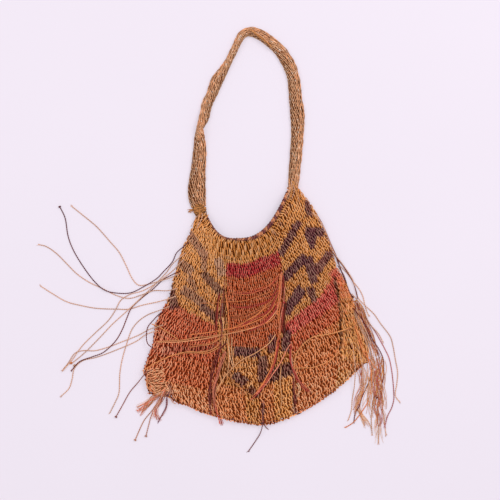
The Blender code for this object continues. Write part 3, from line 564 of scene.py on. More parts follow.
def looping(layer, rows, pitch, strand, shape, sides, colour_of, depth=0.75, sway=0.5, count=None,
            gathers=0.0, loosely=1.0, slack=0.0):
    """Rows of loops over a layer. pitch and strand give the stitch and string sizes by depth."""
    made = Strands(sides)
    shape = np.array(shape)
    for number, high, row_at, rows_in_all in rows:
        down = row_at / layer.down_length
        length = layer.across_length(down)
        stitches = count or max(3, round(length / np.interp(down, *zip(*pitch))))
        thick = np.interp(down, *zip(*strand))
        odd = number % 2
        which = np.repeat(np.arange(stitches), len(shape))
        across, up, out, shade = np.tile(shape, (stitches, 1)).T
        vary = random.normal(0.0, loosely, (6, stitches))[:, which]
        share = (which + across) / stitches
        # how the loops lean, in stitches: more to the right and lower down, and where the cloth is slack
        lean = LEAN_VARIES * vary[1] + LEAN * down * share + slack * 1.3 * (1.0 - share) ** 2 * ease(down / 0.15)
        lean = lean + slack * 2.4 * ease((share - 0.76) / 0.2) * (1.0 - ease(down / 0.4))
        # one way and the other in turn, and more unevenly, at the left neck and in the lower half
        lumpy = slack * (1.0 - ease(share / 0.24)) * (1.0 - ease(down / 0.22))
        vary = vary * (1.0 + 2.6 * lumpy)
        lean = lean + lumpy * (2.6 if odd else -2.2)
        rough = gathers * ease((down - 0.45) / 0.3)
        vary = vary * (1.0 + 0.6 * rough)
        lean = lean + rough * (0.35 if odd else -0.35)
        # where each point lies across, in millimetres, with wider loops right of the shoulder
        at = (which + across + 0.5 * odd + PLACE_VARIES * vary[0] + lean * (up - 0.5)) * length / stitches
        at = at + 0.5 * sway * np.sin(at / 11.0 + number * 1.9)
        loose = 1.0 + slack * (1.0 - ease(down / 0.55))
        knee = SHOULDER / (SHOULDER + (1.0 - SHOULDER) / loose)
        at = np.interp(at / length, (-0.01, 0.0, knee, 1.0, 1.01), (-0.01, 0.0, SHOULDER, 1.0, 1.01)) * length
        thick = thick * (1.0 + 0.5 * (loose - 1.0) * ease((at / length - SHOULDER + 0.1) / 0.2))
        # how far down it lies: the mouth's long rows are drawn up only between the necks
        drawn = gathers * ease((at / length - 0.14) / 0.12) * (0.1 + 0.9 * ease((0.74 - at / length) / 0.16))
        even = layer.down_length / rows_in_all
        middle_at = row_at * drawn + (number + 0.7) * even * (1.0 - drawn) if gathers else row_at
        tall = (high * drawn + even * (1.0 - drawn) if gathers else high) * ROW_OVERLAP
        up = up * (1.0 + HEIGHT_VARIES * vary[2])
        wave = sway * np.sin(at / 17.0 + down * 37.0) + 0.5 * sway * np.sin(at / 7.3 + down * 91.0)
        reach = middle_at + (0.5 - up) * tall + ROW_VARIES * vary[3] + wave
        lift = depth * out + LIFT_VARIES * vary[4]
        # the gathers under the mouth push the loops together and out
        held = drawn * np.exp(-(reach / GATHER_REACH) ** 2) * ease(reach / 6.0)
        phase = 2 * math.pi * at / GATHER + 1.3 * np.sin(at / 31.0) + 0.8 * np.sin(at / 13.0 + 1.0)
        at = at - held * 0.8 * GATHER / (2 * math.pi) * np.sin(phase)
        lift = lift + held * GATHER_HIGH * np.cos(phase)
        # how lit the string is: brighter along the hem and in the lower left corner
        shade = shade * (1.0 + held * (0.33 * np.cos(phase) - 0.07))
        hem = ease((down - 0.85) / 0.08) * ease((abs(at / length - 0.47) - 0.09) / 0.12)
        foot = ease((down - 0.58) / 0.12) * ease((0.15 - at / length) / 0.1)
        shade = shade * (1.0 + HEM_LIGHT * gathers * np.maximum(hem, foot))
        if gathers and number == rows_in_all - 1:
            shade = np.maximum(shade, LAST_ROW_LIGHT)
        centres, ups = layer.at(np.clip(at / length, -0.004, 1.004), reach / layer.down_length, lift)
        # a stitch mostly takes the dye of its middle
        middles = centres.reshape(stitches, len(shape), 3).mean(axis=1)[which]
        spots = middles * 0.55 + centres * 0.45 + 0.4 * np.stack([vary[0], vary[2], vary[1]], axis=1)
        colours = colour_of(spots[:, 0], spots[:, 1])
        bright = (shade * np.repeat(random.uniform(0.80, 1.20, stitches), len(shape)))[:, None]
        made.add(centres, thick / 2 * (1.0 + STRAND_VARIES * vary[5]), lit(colours, bright), ups)
    return made


def surface_of(*layers):
    """A function that gives the height of the topmost of some layers at a place, or 0."""
    spots, faces = [], []
    for layer in layers:
        rows, columns = layer.points.shape[:2]
        corners = len(spots) + np.arange(rows * columns).reshape(rows, columns)
        rings = (corners[:-1, :-1], corners[:-1, 1:], corners[1:, 1:], corners[1:, :-1])
        faces += np.stack(rings, axis=2).reshape(-1, 4).tolist()
        spots += layer.points.reshape(-1, 3).tolist()
    tree = BVHTree.FromPolygons(spots, faces)

    def height(x, y):
        hit = tree.ray_cast((x, y, 50.0), (0.0, 0.0, -1.0))[0]
        return hit.z if hit is not None else 0.0

    return height


def patch(first, second, rise, steps=30):
    """A layer laid over the front between two edges. It stands up in its middle."""
    front_height = surface_of(front_layer)
    share = np.linspace(0.0, 1.0, steps + 1)
    edges = []
    for edge in (first, second):
        edge = np.array(edge, float)
        runs = runs_of(edge)
        edges.append(points_at(share * runs[-1], runs, edge))
    points = np.zeros((steps + 1, steps + 1, 3))
    points[:, :, :2] = edges[0][:, None] * (1 - share)[None, :, None] + edges[1][:, None] * share[None, :, None]
    for j in range(steps + 1):
        for i in range(steps + 1):
            middle = math.sin(math.pi * share[i]) ** 0.5 * min(1.0, 4 * share[j], 4 * (1 - share[j]) + 0.4)
            points[j, i, 2] = max(front_height(*points[j, i, :2]), PATCH_LOW) + PATCH_GAP + rise * middle
    made = Layer(points, 1.0)
    return made if made.normals[..., 2].mean() > 0 else Layer(points, -1.0)


def add_hem(strands):
    """The hem's edge: one bright string that stands out below the last row in uneven loops."""
    at = np.linspace(0.01, 0.99, HEM_STEPS)
    line = front_layer.at(at, np.ones(HEM_STEPS), np.zeros(HEM_STEPS))[0]
    way = unit(np.gradient(line, axis=0))
    turn = at * HEM_LOOPS + 0.7 * np.sin(at * 40.0) + 0.4 * np.sin(at * 97.0)
    tall = random.uniform(0.5, 2.3, HEM_LOOPS + 3)[(turn + 1.0).astype(int)]
    bumps = tall * abs(np.sin(math.pi * turn)) ** 0.7
    curl = 0.9 * np.sin(2 * math.pi * turn)
    line += np.cross(way, UP) * bumps[:, None] + way * curl[:, None]
    line[:, 2] += 1.7 + 0.5 * bumps
    tone = front_dye(line[:, 0], line[:, 1])
    # painted light: the hem's string is painted paler and a quarter brighter than the dye under it
    tone = 1.25 * (tone + (PALE - tone) * random.uniform(0.0, 0.4, (HEM_STEPS, 1)))
    strands.add(line, HEM_RADIUS, tone)


loop_finish = string_finish("looped string", ply_pitch=2.6, ply_depth=0.25)
random = np.random.default_rng(4)
front_rows = row_steps(front_layer, MOUTH_ROWS, ROW_STEP)
half = len(front_rows) // 2
shape, sides = ((STITCH, 4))


def add_to_pouch(loops, name):
    """Makes a piece of the pouch out of its loops."""
    piece = loops.finish(name, loop_finish)
    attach(piece, "root")


for piece_name, piece_rows in (("front_loops_upper", front_rows[:half]), ("front_loops_lower", front_rows[half:])):
    loops = looping(front_layer, piece_rows, FRONT_PITCH, FRONT_STRAND, shape, sides, front_dye,
                    gathers=1.0, slack=SLACK)
    if piece_name == "front_loops_lower":
        add_hem(loops)
    add_to_pouch(loops, piece_name)

# The gusset at the right curls over towards the front, and the lower left corner is bunched up. Both
# are folds of the same fabric, laid over the front between two edges.
GUSSET = (((103, -64), (108, -96), (110.5, -135), (110, -160), (108, -173)),
          ((109, -64), (125, -97), (138, -132), (146, -161), (145, -174)))
CORNER = (((-120, -184), (-130, -183), (-141, -184)), ((-113, -217), (-127, -219), (-138, -210)))
GUSSET_RISE, CORNER_RISE = 1.6, 2.0
GUSSET_ROW, CORNER_ROW = 5.2, 4.4
GUSSET_PITCH, GUSSET_STRAND = ((0, 2.7), (0.5, 3.2), (1, 4.6)), ((0, 1.2), (1, 1.5))
CORNER_PITCH, CORNER_STRAND = ((0, 2.9), (1, 2.9)), ((0, 1.4), (1, 1.4))
GUSSET_GOLD, CORNER_PINK = dye(255, 180, 102), dye(244, 166, 118)
gusset_layer, corner_layer = patch(*GUSSET, GUSSET_RISE), patch(*CORNER, CORNER_RISE)


def gusset_dye(x, y):
    """Ochre, with lengths of redder string, redder at its top and golden lower down."""
    share = random.uniform(0.0, 1.0, (len(x), 1))
    red = 0.10 + 0.70 * ease((y[:, None] + 98.0 + 12.0 * share) / 26.0)
    tone = np.where(share < 0.9, OCHRE, ORANGE_BROWN) * (0.80 + 0.40 * share)
    gold = 0.75 * ease((-y[:, None] - 114.0) / 24.0)
    return (tone * (1.0 - red) + ORANGE_RED * red) * (1.0 - gold) + GUSSET_GOLD * gold * (0.80 + 0.40 * share)


def corner_dye(x, y):
    """Paler and pinker than the hem beside it."""
    share = random.uniform(0.0, 1.0, (len(x), 1))
    return np.where(share < 0.8, CORNER_PINK, LIGHT_RUST) * (0.75 + 0.45 * share)


gusset = looping(gusset_layer, row_steps(gusset_layer, (), GUSSET_ROW, 0.0), GUSSET_PITCH, GUSSET_STRAND,
                 shape, sides, gusset_dye, sway=1.2, loosely=1.5)
add_to_pouch(gusset, "gusset_loops")
corner = looping(corner_layer, row_steps(corner_layer, (), CORNER_ROW, 0.0), CORNER_PITCH, CORNER_STRAND,
                 shape, sides, corner_dye, loosely=1.5)
add_to_pouch(corner, "corner_loops")

# The shade sheet behind the loops takes their dye. Its painted shade is lighter in the lower half and at its edges.
spots = np.zeros(len(shade_sheet.data.vertices) * 3)
shade_sheet.data.vertices.foreach_get("co", spots)
spots = spots.reshape(-1, 3) / MM
brightness = 1.0 + 0.7 * ease((-spots[:, 1:2] - 150.0) / 50.0) + 1.2 * (abs(spots[:, 2:3] - EDGE / 2) < 0.1)
dye_mesh(shade_sheet, front_dye(spots[:, 0], spots[:, 1]) * brightness)

# ------------------------------------------------------------------ looping of the pouch's back
# The back is the same fabric, plainer, in the ochre of the yoke with a browner lower half. It is
# looped a little more simply here, because it lies face down.
BACK_ROW = 5.0
BACK_PITCH = ((0.00, 2.9), (0.55, 3.3), (1.00, 4.3))


def back_dye(x, y):
    """Ochre at the top, browner and redder to the hem."""
    share = np.clip((-y - 60) / 160 + random.normal(0.0, 0.06, len(y)), 0.0, 1.0)[:, None]
    return OCHRE * (1 - share) + ORANGE_BROWN * share


back_loops = looping(back_layer, row_steps(back_layer, MOUTH_ROWS, BACK_ROW), BACK_PITCH, FRONT_STRAND,
                     QUICK_STITCH, 3, back_dye, depth=0.35)
add_to_pouch(back_loops, "back_loops")

# ------------------------------------------------------------------ the mouth cords
# Each side of the mouth is drawn up on a foundation cord, a loose twist of two dyed strings. The cord
# is thicker along the right of the mouth, and stands a little clear of the first row of loops.
CORD_STEPS = 210
CORD_SINK = 0.75  # how far a thicker cord's middle lies in from the mouth's edge, to its radius
CORD_TWIST = 7.5  # length of one turn
CORD_PLY = ((0.0, 0.6), (0.32, 0.75), (0.44, 1.2), (0.58, 1.62), (0.80, 1.55),
            (1.0, 1.05))  # along the mouth, a string's radius
CORD_DARK = dye(112, 58, 60)
CORD_BAND = 6.2  # length of the runs of dark and of ochre string wound on to it
CORD_SHADE = ((0.25, 0.1), (0.45, 0.45), (0.60, 0.9), (0.80, 0.8), (1.0, 0.8))  # how dark its second string is
PLY_SPREAD = 0.95  # how far the plies of a twist stand apart, to their radius


def twisted(strands, centres, radii, pitch, colours, start=0.0):
    """Two strings twisted round each other along a line. radii is one string's radius."""
    run = runs_of(centres)
    way = unit(np.gradient(centres, axis=0))
    side = unit(np.cross(way, UP))
    over = np.cross(side, way)
    radii = np.broadcast_to(radii, len(centres))
    for ply, tone in enumerate(colours):
        angle = (2 * math.pi * (run / pitch + ply / 2) + start)[:, None]
        arm = (np.cos(angle) * side + np.sin(angle) * over) * (radii * PLY_SPREAD)[:, None]
        # painted light and shade: each ply is lighter where it lies on top of the twist and darker where it turns
        # under
        strands.add(centres + arm, radii, tone * (0.72 + 0.38 * np.sin(angle) * over[:, 2:]), over)


for cord_name, layer, lift, slim in (("front_mouth_cord", front_layer, 0.3, 1.0),
                                     ("back_mouth_cord", back_layer, -1.6, 0.85)):
    share = np.linspace(0.035, 0.965, CORD_STEPS)
    thick = np.interp(share, *zip(*CORD_PLY))
    line, _ = layer.at(share, np.zeros(CORD_STEPS), lift + abs(lift) * 3.0 * (thick - 0.7) * 2.6)
    thick = thick * slim
    out = unit(np.cross(UP, np.gradient(line, axis=0)))
    shade = np.interp(share, *zip(*CORD_SHADE))[:, None]
    mottle = random.uniform(0.85, 1.15, (CORD_STEPS, 1))
    run = runs_of(line)[:, None] / CORD_BAND
    band_at = ease(2.5 * np.sin(math.pi * (run + 0.3 * np.sin(run * 1.7))) + 0.5)
    light = DEEP_OCHRE * 0.55 + PALE_GREY * 0.45
    light = light * (0.5 + 0.5 * shade) + BROWN * (0.5 - 0.5 * shade)
    deep = BROWN * (1 - shade) + CORD_DARK * shade
    tones = [(light * (1 - band_at) + deep * band_at) * mottle * level for level in (1.08, 0.86)]
    strands = Strands(sides=5)
    twisted(strands, line - out * (thick[:, None] - 0.8) * CORD_SINK, thick, CORD_TWIST, tones)
    piece = strands.finish(cord_name + "_twist", loop_finish)
    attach(piece, "root")
    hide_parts(cord_name)

# ------------------------------------------------------------------ the strap
# The strap is a netted band looped lengthwise in the same string, browner than the pouch, about 15 mm
# wide with rolled edges. It is pulled narrow at the left, turns over once there, and is folded double
# at the top. Each row of the table is a section of it, from the left neck round to the right one.
STRAP = (  # x, y, width, thickness, hollow, roll
    (-76.5, 36.5, 21.5, 4.6, 1.0, 0),
    (-77.0, 52.0, 21.5, 4.6, 1.2, 0),
    (-75.0, 73.5, 18.0, 4.8, 1.2, 0),
    (-73.0, 99.5, 15.5, 5.0, 1.0, 0),
    (-73.5, 115.5, 12.0, 6.0, 0.6, 20),
    (-72.5, 127.5, 10.5, 7.0, 0.3, 90),
    (-67.5, 140.0, 11.5, 6.0, 0.5, 160),
    (-63.5, 157.5, 12.0, 5.2, 0.8, 180),
    (-56.5, 173.0, 12.5, 5.0, 0.8, 180),
    (-50.5, 188.5, 14.5, 5.0, 0.8, 180),
    (-43.0, 200.5, 10.5, 5.4, 0.6, 180),
    (-34.5, 215.5, 7.5, 6.4, 0.2, 200),
    (-25.5, 234.0, 8.5, 6.0, 0.2, 220),
    (-18.5, 247.0, 9.0, 6.0, 0.3, 200),
    (-9.5, 252.0, 10.0, 5.6, 0.4, 180),
    (3.5, 249.0, 12.0, 5.4, 0.8, 180),
    (17.0, 240.0, 12.5, 5.4, 1.0, 180),
    (30.5, 228.0, 13.5, 5.2, 1.0, 180),
    (41.0, 212.5, 15.0, 5.0, 1.0, 180),
    (47.5, 196.0, 14.5, 5.0, 0.9, 180),
    (50.0, 179.5, 15.0, 4.8, 0.9, 180),
    (51.5, 162.5, 15.5, 4.8, 1.0, 180),
    (53.5, 147.0, 17.5, 4.6, 1.2, 180),
    (54.0, 131.5, 16.0, 4.8, 1.2, 180),
    (53.0, 108.5, 14.5, 5.0, 1.0, 180),
    (51.0, 84.0, 14.0, 5.0, 0.9, 180),
    (49.5, 66.5, 13.0, 5.4, 0.6, 180),
)
STRAP_START = (18.0, 4.8, 0.8)  # width, thickness and hollow where the band meets its knot
STRAP_END = (11.5, 6.0, 0.4)  # the same where it meets the right neck
KNOT_LENGTH, KNOT_GAP = 8.6, 0.3
STRAP_STITCHES, STRAP_ROW = 17, 4.7
STRAP_PITCH, STRAP_STRAND = ((0, 2.1), (1, 2.1)), ((0, 1.0), (1, 1.0))
STRAP_BROWN, SPECK = dye(226, 160, 117), dye(255, 230, 214)
STRAP_STITCH = [(*place, 0.11 + 0.98 * shade) for *place, shade in STITCH]  # lighter painted shade in its gaps
RING = 72  # points round one section of the band
SHADE_SHEET_SIDES, SHADE_SHEET_RINGS, SHADE_SHEET_SINK = 24, 340, 0.9  # the dark sheet inside the band's loops that paints the shade in their gaps
RUNNING = (0.30, 0.36, 0.43, 0.50, 0.57, 0.64, 0.70)  # where loose strings run along the band, across it
RUNNING_STEPS = 330


def curve_through(knots, steps, spacing, least=0):
    """Points about spacing apart on a smooth curve through knots, from the second one to the last but one."""
    fine = []
    for p, q, r, s in zip(knots, knots[1:], knots[2:], knots[3:]):
        for t in np.arange(steps) / steps:
            fine.append(0.5 * (2 * q + (r - p) * t + (2 * p - 5 * q + 4 * r - s) * t * t
                               + (3 * q - p - 3 * r + s) * t ** 3))
    fine = np.array([*fine, knots[-2]])
    runs = runs_of(fine[:, :2])
    count = max(least, round(runs[-1] / spacing))
    return points_at(np.linspace(0.0, runs[-1], count + 1), runs, fine)


def band_ring(width, thickness, hollow, roll):
    """A cross-section of the band, evenly sampled and softened, and resting on the surface."""
    half, high, cut = width / 2, thickness / 2, 0.32 * thickness
    corners = np.array([(-half, -high + cut), (-half + cut, -high), (half - cut, -high), (half, -high + cut),
                        (half, high - cut), (half - 1.4 * cut, high), (0.0, high - hollow),
                        (-half + 1.4 * cut, high), (-half, high - cut), (-half, -high + cut)])
    runs = runs_of(corners)
    ring = points_at(np.linspace(0.0, runs[-1], RING, endpoint=False), runs, corners)
    for _ in range(6):
        ring = (np.roll(ring, 1, axis=0) + 2 * ring + np.roll(ring, -1, axis=0)) / 4
    c, s = math.cos(math.radians(roll)), math.sin(math.radians(roll))
    ring = ring @ np.array(((c, s), (-s, c)))
    ring[:, 1] -= ring[:, 1].min()
    return np.vstack([ring, ring[:1]])


def neck_frame(side):
    """The middle of a neck's cut edge, and the direction in which the strap leaves it."""
    inner, outer = (np.array((row[side + "_x"], row[side + "_y"]))
                    for row in (section_at(0.0), section_at(SECTIONS[NECK][0])))
    run = inner - outer if side == "left" else outer - inner
    return (inner + outer) / 2, np.array((-run[1], run[0])) / np.linalg.norm(run)


def strap_layer(step=2.0):
    """The band's surface, round and closed, with its sections about step apart."""
    left, left_way = neck_frame("left")
    right, right_way = neck_frame("right")
    start, end = left + left_way * (KNOT_LENGTH + 2 * KNOT_GAP), right + right_way * KNOT_GAP
    rows = np.array([(*start, *STRAP_START, STRAP[0][5]), *STRAP, (*end, *STRAP_END, STRAP[-1][5])])
    fine = curve_through(np.vstack([rows[:1], rows, rows[-1:]]), 12, step)
    way = unit(np.gradient(fine[:, :2], axis=0))
    points = np.zeros((len(fine), RING + 1, 3))
    for j, (x, y, *section) in enumerate(fine):
        ring = band_ring(*section)
        points[j, :, 0] = x + way[j, 1] * ring[:, 0]
        points[j, :, 1] = y - way[j, 0] * ring[:, 0]
        points[j, :, 2] = ring[:, 1]
    made = Layer(points, 1.0)
    outwards = ((points - points[:, :RING].mean(axis=1, keepdims=True)) * made.normals).sum()
    return made if outwards > 0 else Layer(points, -1.0)


band = strap_layer()
band_middles = band.points[:, :RING, :2].mean(axis=1)
band_reach = np.linalg.norm(band.points[:, :RING, :2] - band_middles[:, None], axis=2).max(axis=1)


def strap_dye(x, y):
    """Brown, with painted shade darkening it towards its rolled edges, and pale specks."""
    share = random.uniform(0.0, 1.0, (len(x), 1))
    away = np.hypot(x[:, None] - band_middles[:, 0], y[:, None] - band_middles[:, 1])
    # painted shade: the band darkens towards its rolled edges, its specks too
    rim = ease((away.min(axis=1) / band_reach[away.argmin(axis=1)] - 0.55) / 0.35)[:, None]
    tone = STRAP_BROWN * (0.80 + 0.35 * share) * (1.0 - 0.50 * rim * np.array((0.9, 1.0, 1.1)))
    return np.where(share > 0.92, SPECK * (1.0 - 0.4 * rim), tone)


# A dark tube under the band's loops paints the shade in the gaps between them.
around, along = np.meshgrid(np.arange(SHADE_SHEET_SIDES) / SHADE_SHEET_SIDES, np.linspace(0, 1, SHADE_SHEET_RINGS))
shade_sheet_points, _ = band.at(around.ravel(), along.ravel(), np.full(around.size, -SHADE_SHEET_SINK))
first = np.arange(SHADE_SHEET_SIDES * (SHADE_SHEET_RINGS - 1)).reshape(-1, SHADE_SHEET_SIDES)
after = np.roll(first, -1, axis=1)
shade_sheet_faces = np.stack([first, after, after + SHADE_SHEET_SIDES, first + SHADE_SHEET_SIDES], axis=2).reshape(-1, 4).tolist()
last = len(shade_sheet_points) - 1
shade_sheet_faces += [tuple(range(SHADE_SHEET_SIDES)), tuple(range(last, last - SHADE_SHEET_SIDES, -1))]
strap_shade_sheet = to_object("strap_shade_sheet", shade_sheet_points, shade_sheet_faces, dim)
shell = bmesh.new()
shell.from_mesh(strap_shade_sheet.data)
bmesh.ops.recalc_face_normals(shell, faces=shell.faces)
shell.to_mesh(strap_shade_sheet.data)
shell.free()
dye_mesh(strap_shade_sheet, STRAP_BROWN)
strap_loops = looping(band, row_steps(band, (), STRAP_ROW), STRAP_PITCH, STRAP_STRAND, STRAP_STITCH, 4,
                      strap_dye, depth=0.6, sway=0.0, count=STRAP_STITCHES)
for place_at in RUNNING:
    share = np.arange(RUNNING_STEPS) / (RUNNING_STEPS - 1)
    wander = 0.016 * np.sin(share * 61.0 + place_at * 90.0) + 0.010 * np.sin(share * 149.0 + place_at * 50.0)
    line, line_ups = band.at(place_at + wander, share, 0.55 + 0.5 * np.sin(share * 190.0 + place_at * 400.0))
    brightness = 1.0 + 0.3 * np.sin(share * 230 + place_at * 99)
    strap_loops.add(line, 0.62, STRAP_BROWN * brightness[:, None], line_ups)
strap_piece = strap_loops.finish("strap_loops", loop_finish)
for piece in (strap_shade_sheet, strap_piece):
    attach(piece, "root")
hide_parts("strap")

# ------------------------------------------------------------------ the strap's knot
# The band is tied on to the left neck with a few turns of its own string over its rolled end, with a
# tuft of cut ends sticking out on the left and a small lump on the right.
KNOT_WIDTH, KNOT_HEIGHT = 16.0, 6.4
KNOT_BROWN = dye(196, 132, 78)
KNOT_TURNS, KNOT_STRANDS, KNOT_LUMPS, KNOT_TUFTS = 7, 11, 60, 9

neck, neck_way = neck_frame("left")
knot_middle = neck + neck_way * (KNOT_GAP + KNOT_LENGTH / 2)
# The knot's core takes the dark material of the shade sheets: painted shade between its turns.
bpy.ops.object.select_all(action="DESELECT")
bpy.ops.mesh.primitive_uv_sphere_add(segments=24, ring_count=14, radius=1.0)
lump = bpy.context.object
lump.name = "knot_core"
lump.scale = (KNOT_WIDTH * 0.47 * MM, KNOT_LENGTH * 0.42 * MM, KNOT_HEIGHT * 0.42 * MM)
lump.rotation_euler.z = math.atan2(neck_way[1], neck_way[0]) - math.pi / 2
lump.location = (*(knot_middle * MM), KNOT_HEIGHT / 2 * MM)
bpy.ops.object.transform_apply(location=True, rotation=True, scale=True)
bpy.ops.object.shade_smooth()
lump.data.materials.append(dim)
dye_mesh(lump, STRAP_BROWN)

knot = Strands(sides=5)
long_way = np.array((*neck_way, 0.0))
side_way = np.cross(long_way, UP)
centre = np.array((*knot_middle, KNOT_HEIGHT / 2))
# The turns are painted darker than the band, as shade under the strands and lumps that lie on them.
for turn_at in range(KNOT_TURNS):
    off = turn_at - 3
    lean = random.uniform(-0.8, 0.8)
    t = np.linspace(0.0, 2 * math.pi, 37)[:, None]
    wide = KNOT_WIDTH * 0.5 * (1.0 - 0.05 * abs(off))
    ring = (centre + side_way * np.cos(t) * wide + UP * np.sin(t) * KNOT_HEIGHT * 0.44
            + long_way * (off * 1.25 + lean * np.cos(t + turn_at)))
    knot.add(ring, 0.75, KNOT_BROWN * random.uniform(0.35, 0.9), ring - centre)
for strand_at in range(KNOT_STRANDS):  # the strap's strands, running over the turns
    aside = (strand_at - 5) * 1.45 + random.uniform(-0.3, 0.3)
    t = np.linspace(-1.0, 1.0, 22)[:, None]
    rise = np.interp(t, (-1.0, -0.4, 0.4, 1.0), (6.2, 6.8, 6.6, 5.0)) * (1.0 - 0.35 * (aside / 8.0) ** 2)
    line = (centre + long_way * t * 9.5 + side_way * (aside * (1.0 + 0.12 * t) + 0.5 * np.sin(t * 5.0 + strand_at))
            + UP * (rise - centre[2] + 0.35 * np.sin(t * 9.0 + strand_at * 2.1)))
    knot.add(line, 0.62, KNOT_BROWN * random.uniform(0.5, 1.0) * (1.0 + 0.45 * np.sin(t * 9.0 + strand_at * 1.7)))
for _ in range(KNOT_LUMPS):
    aside, along, turn = random.uniform(-1.0, 1.0), random.uniform(-1.0, 1.0), random.uniform(0.0, math.pi)
    t = np.linspace(-1.0, 1.0, 8)[:, None]
    reach = random.uniform(1.2, 2.4)
    place_across = aside * KNOT_WIDTH * 0.46 + reach * np.cos(turn) * t
    place_along = along * KNOT_LENGTH * 0.62 + reach * np.sin(turn) * t
    rise = 3.6 - 2.4 * (place_across / KNOT_WIDTH * 2) ** 2 + 0.9 * (1.0 - t * t) + random.uniform(0.0, 0.5)
    line = centre + side_way * place_across + long_way * place_along + UP * rise
    # painted shade: a quarter of the lumps are dark, and each darkens towards its ends, where it dips
    shade = random.uniform(0.30, 0.6) if random.uniform() < 0.25 else random.uniform(0.85, 1.35)
    knot.add(line, random.uniform(0.55, 0.8), KNOT_BROWN * shade * (1.0 - 0.45 * t * t))
for _ in range(KNOT_TUFTS):
    t = np.linspace(0.0, 1.0, 7)[:, None]
    tip = -side_way * random.uniform(5.0, 8.5) + long_way * random.uniform(-2.5, 2.5) - UP * 1.5
    root = centre - side_way * KNOT_WIDTH * 0.42 + long_way * random.uniform(2.2, 5.0)
    knot.add(root + tip * t + UP * 1.2 * np.sin(t * math.pi), 0.55 * (1.0 - 0.4 * t[:, 0]),
             KNOT_BROWN * random.uniform(0.55, 1.05))
for aside in (-0.34, 0.30):  # dark strands that paint the shade in the two hollows under its lowest turn
    t = np.linspace(-1.0, 1.0, 6)[:, None]
    line = centre + side_way * (aside * KNOT_WIDTH + 0.8 * t) - long_way * KNOT_LENGTH * 0.52 + UP * 3.6
    knot.add(line, 1.1, SHADE_BROWN * 0.8)
knot_piece = knot.finish("knot_turns", loop_finish)
for piece in (lump, knot_piece):
    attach(piece, "root")
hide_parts("strap_knot")

# ------------------------------------------------------------------ the hanging strings
# Wherever the bag's maker joined in a new length of string, its spare end was left hanging: two-ply,
# hand-rolled, about 1.6 mm thick. They fan out over the table from both sides, hang from the hem and
# cross the front.
STRING = 1.6  # diameter
STRING_TWIST, STRING_PLY = 5.6, 0.27  # length of one turn of its two plies, and a ply's radius to its diameter
STRING_STEP = 1.2
STRING_SLOPE = 0.33  # steepest that a string climbs or drops
STRING_GAP = 0.15  # between a string and one that it crosses
LOOP_RELIEF = 0.7  # how far the loops stand out of their layer
STRING_DYES = {"plain": dye(222, 174, 148), "orange": dye(232, 136, 84), "red": dye(190, 72, 66),
               "dark": dye(126, 54, 46), "ochre": dye(222, 152, 92), "shadow": dye(106, 42, 30),
               "grey": dye(176, 144, 130), "mauve": dye(174, 96, 80), "pale": dye(244, 190, 146),
               "pink": dye(232, 140, 112), "rose": dye(206, 104, 84), "tan": dye(212, 142, 94),
               "cream": dye(255, 208, 184)}
OWN_TONES = {  # strings whose dye differs a little from the others of their colour
    "left_01": dye(110, 56, 62), "left_11": dye(156, 96, 86), "hem_01": dye(128, 78, 80),
    "right_05": dye(192, 114, 112), "tassel_01": dye(236, 138, 108), "tassel_02": dye(206, 144, 114),
    "tassel_03": dye(190, 136, 118), "tassel_04": dye(136, 76, 92), "front_01": dye(244, 168, 120),
    "front_03": dye(224, 146, 92), "front_04": dye(228, 148, 92), "front_05": dye(240, 174, 124),
    "front_06": dye(206, 104, 78), "front_07": dye(134, 60, 60), "front_08": dye(214, 104, 84),
    "front_09": dye(238, 164, 106), "front_10": dye(234, 156, 100),
}
KNOTTED = ("left_01", "left_11", "tassel_02", "tassel_03")  # strings whose end is a small knot
FRAY, FIBRES = 5.0, 5  # how far the fibres of the other ends come apart, and how many there are
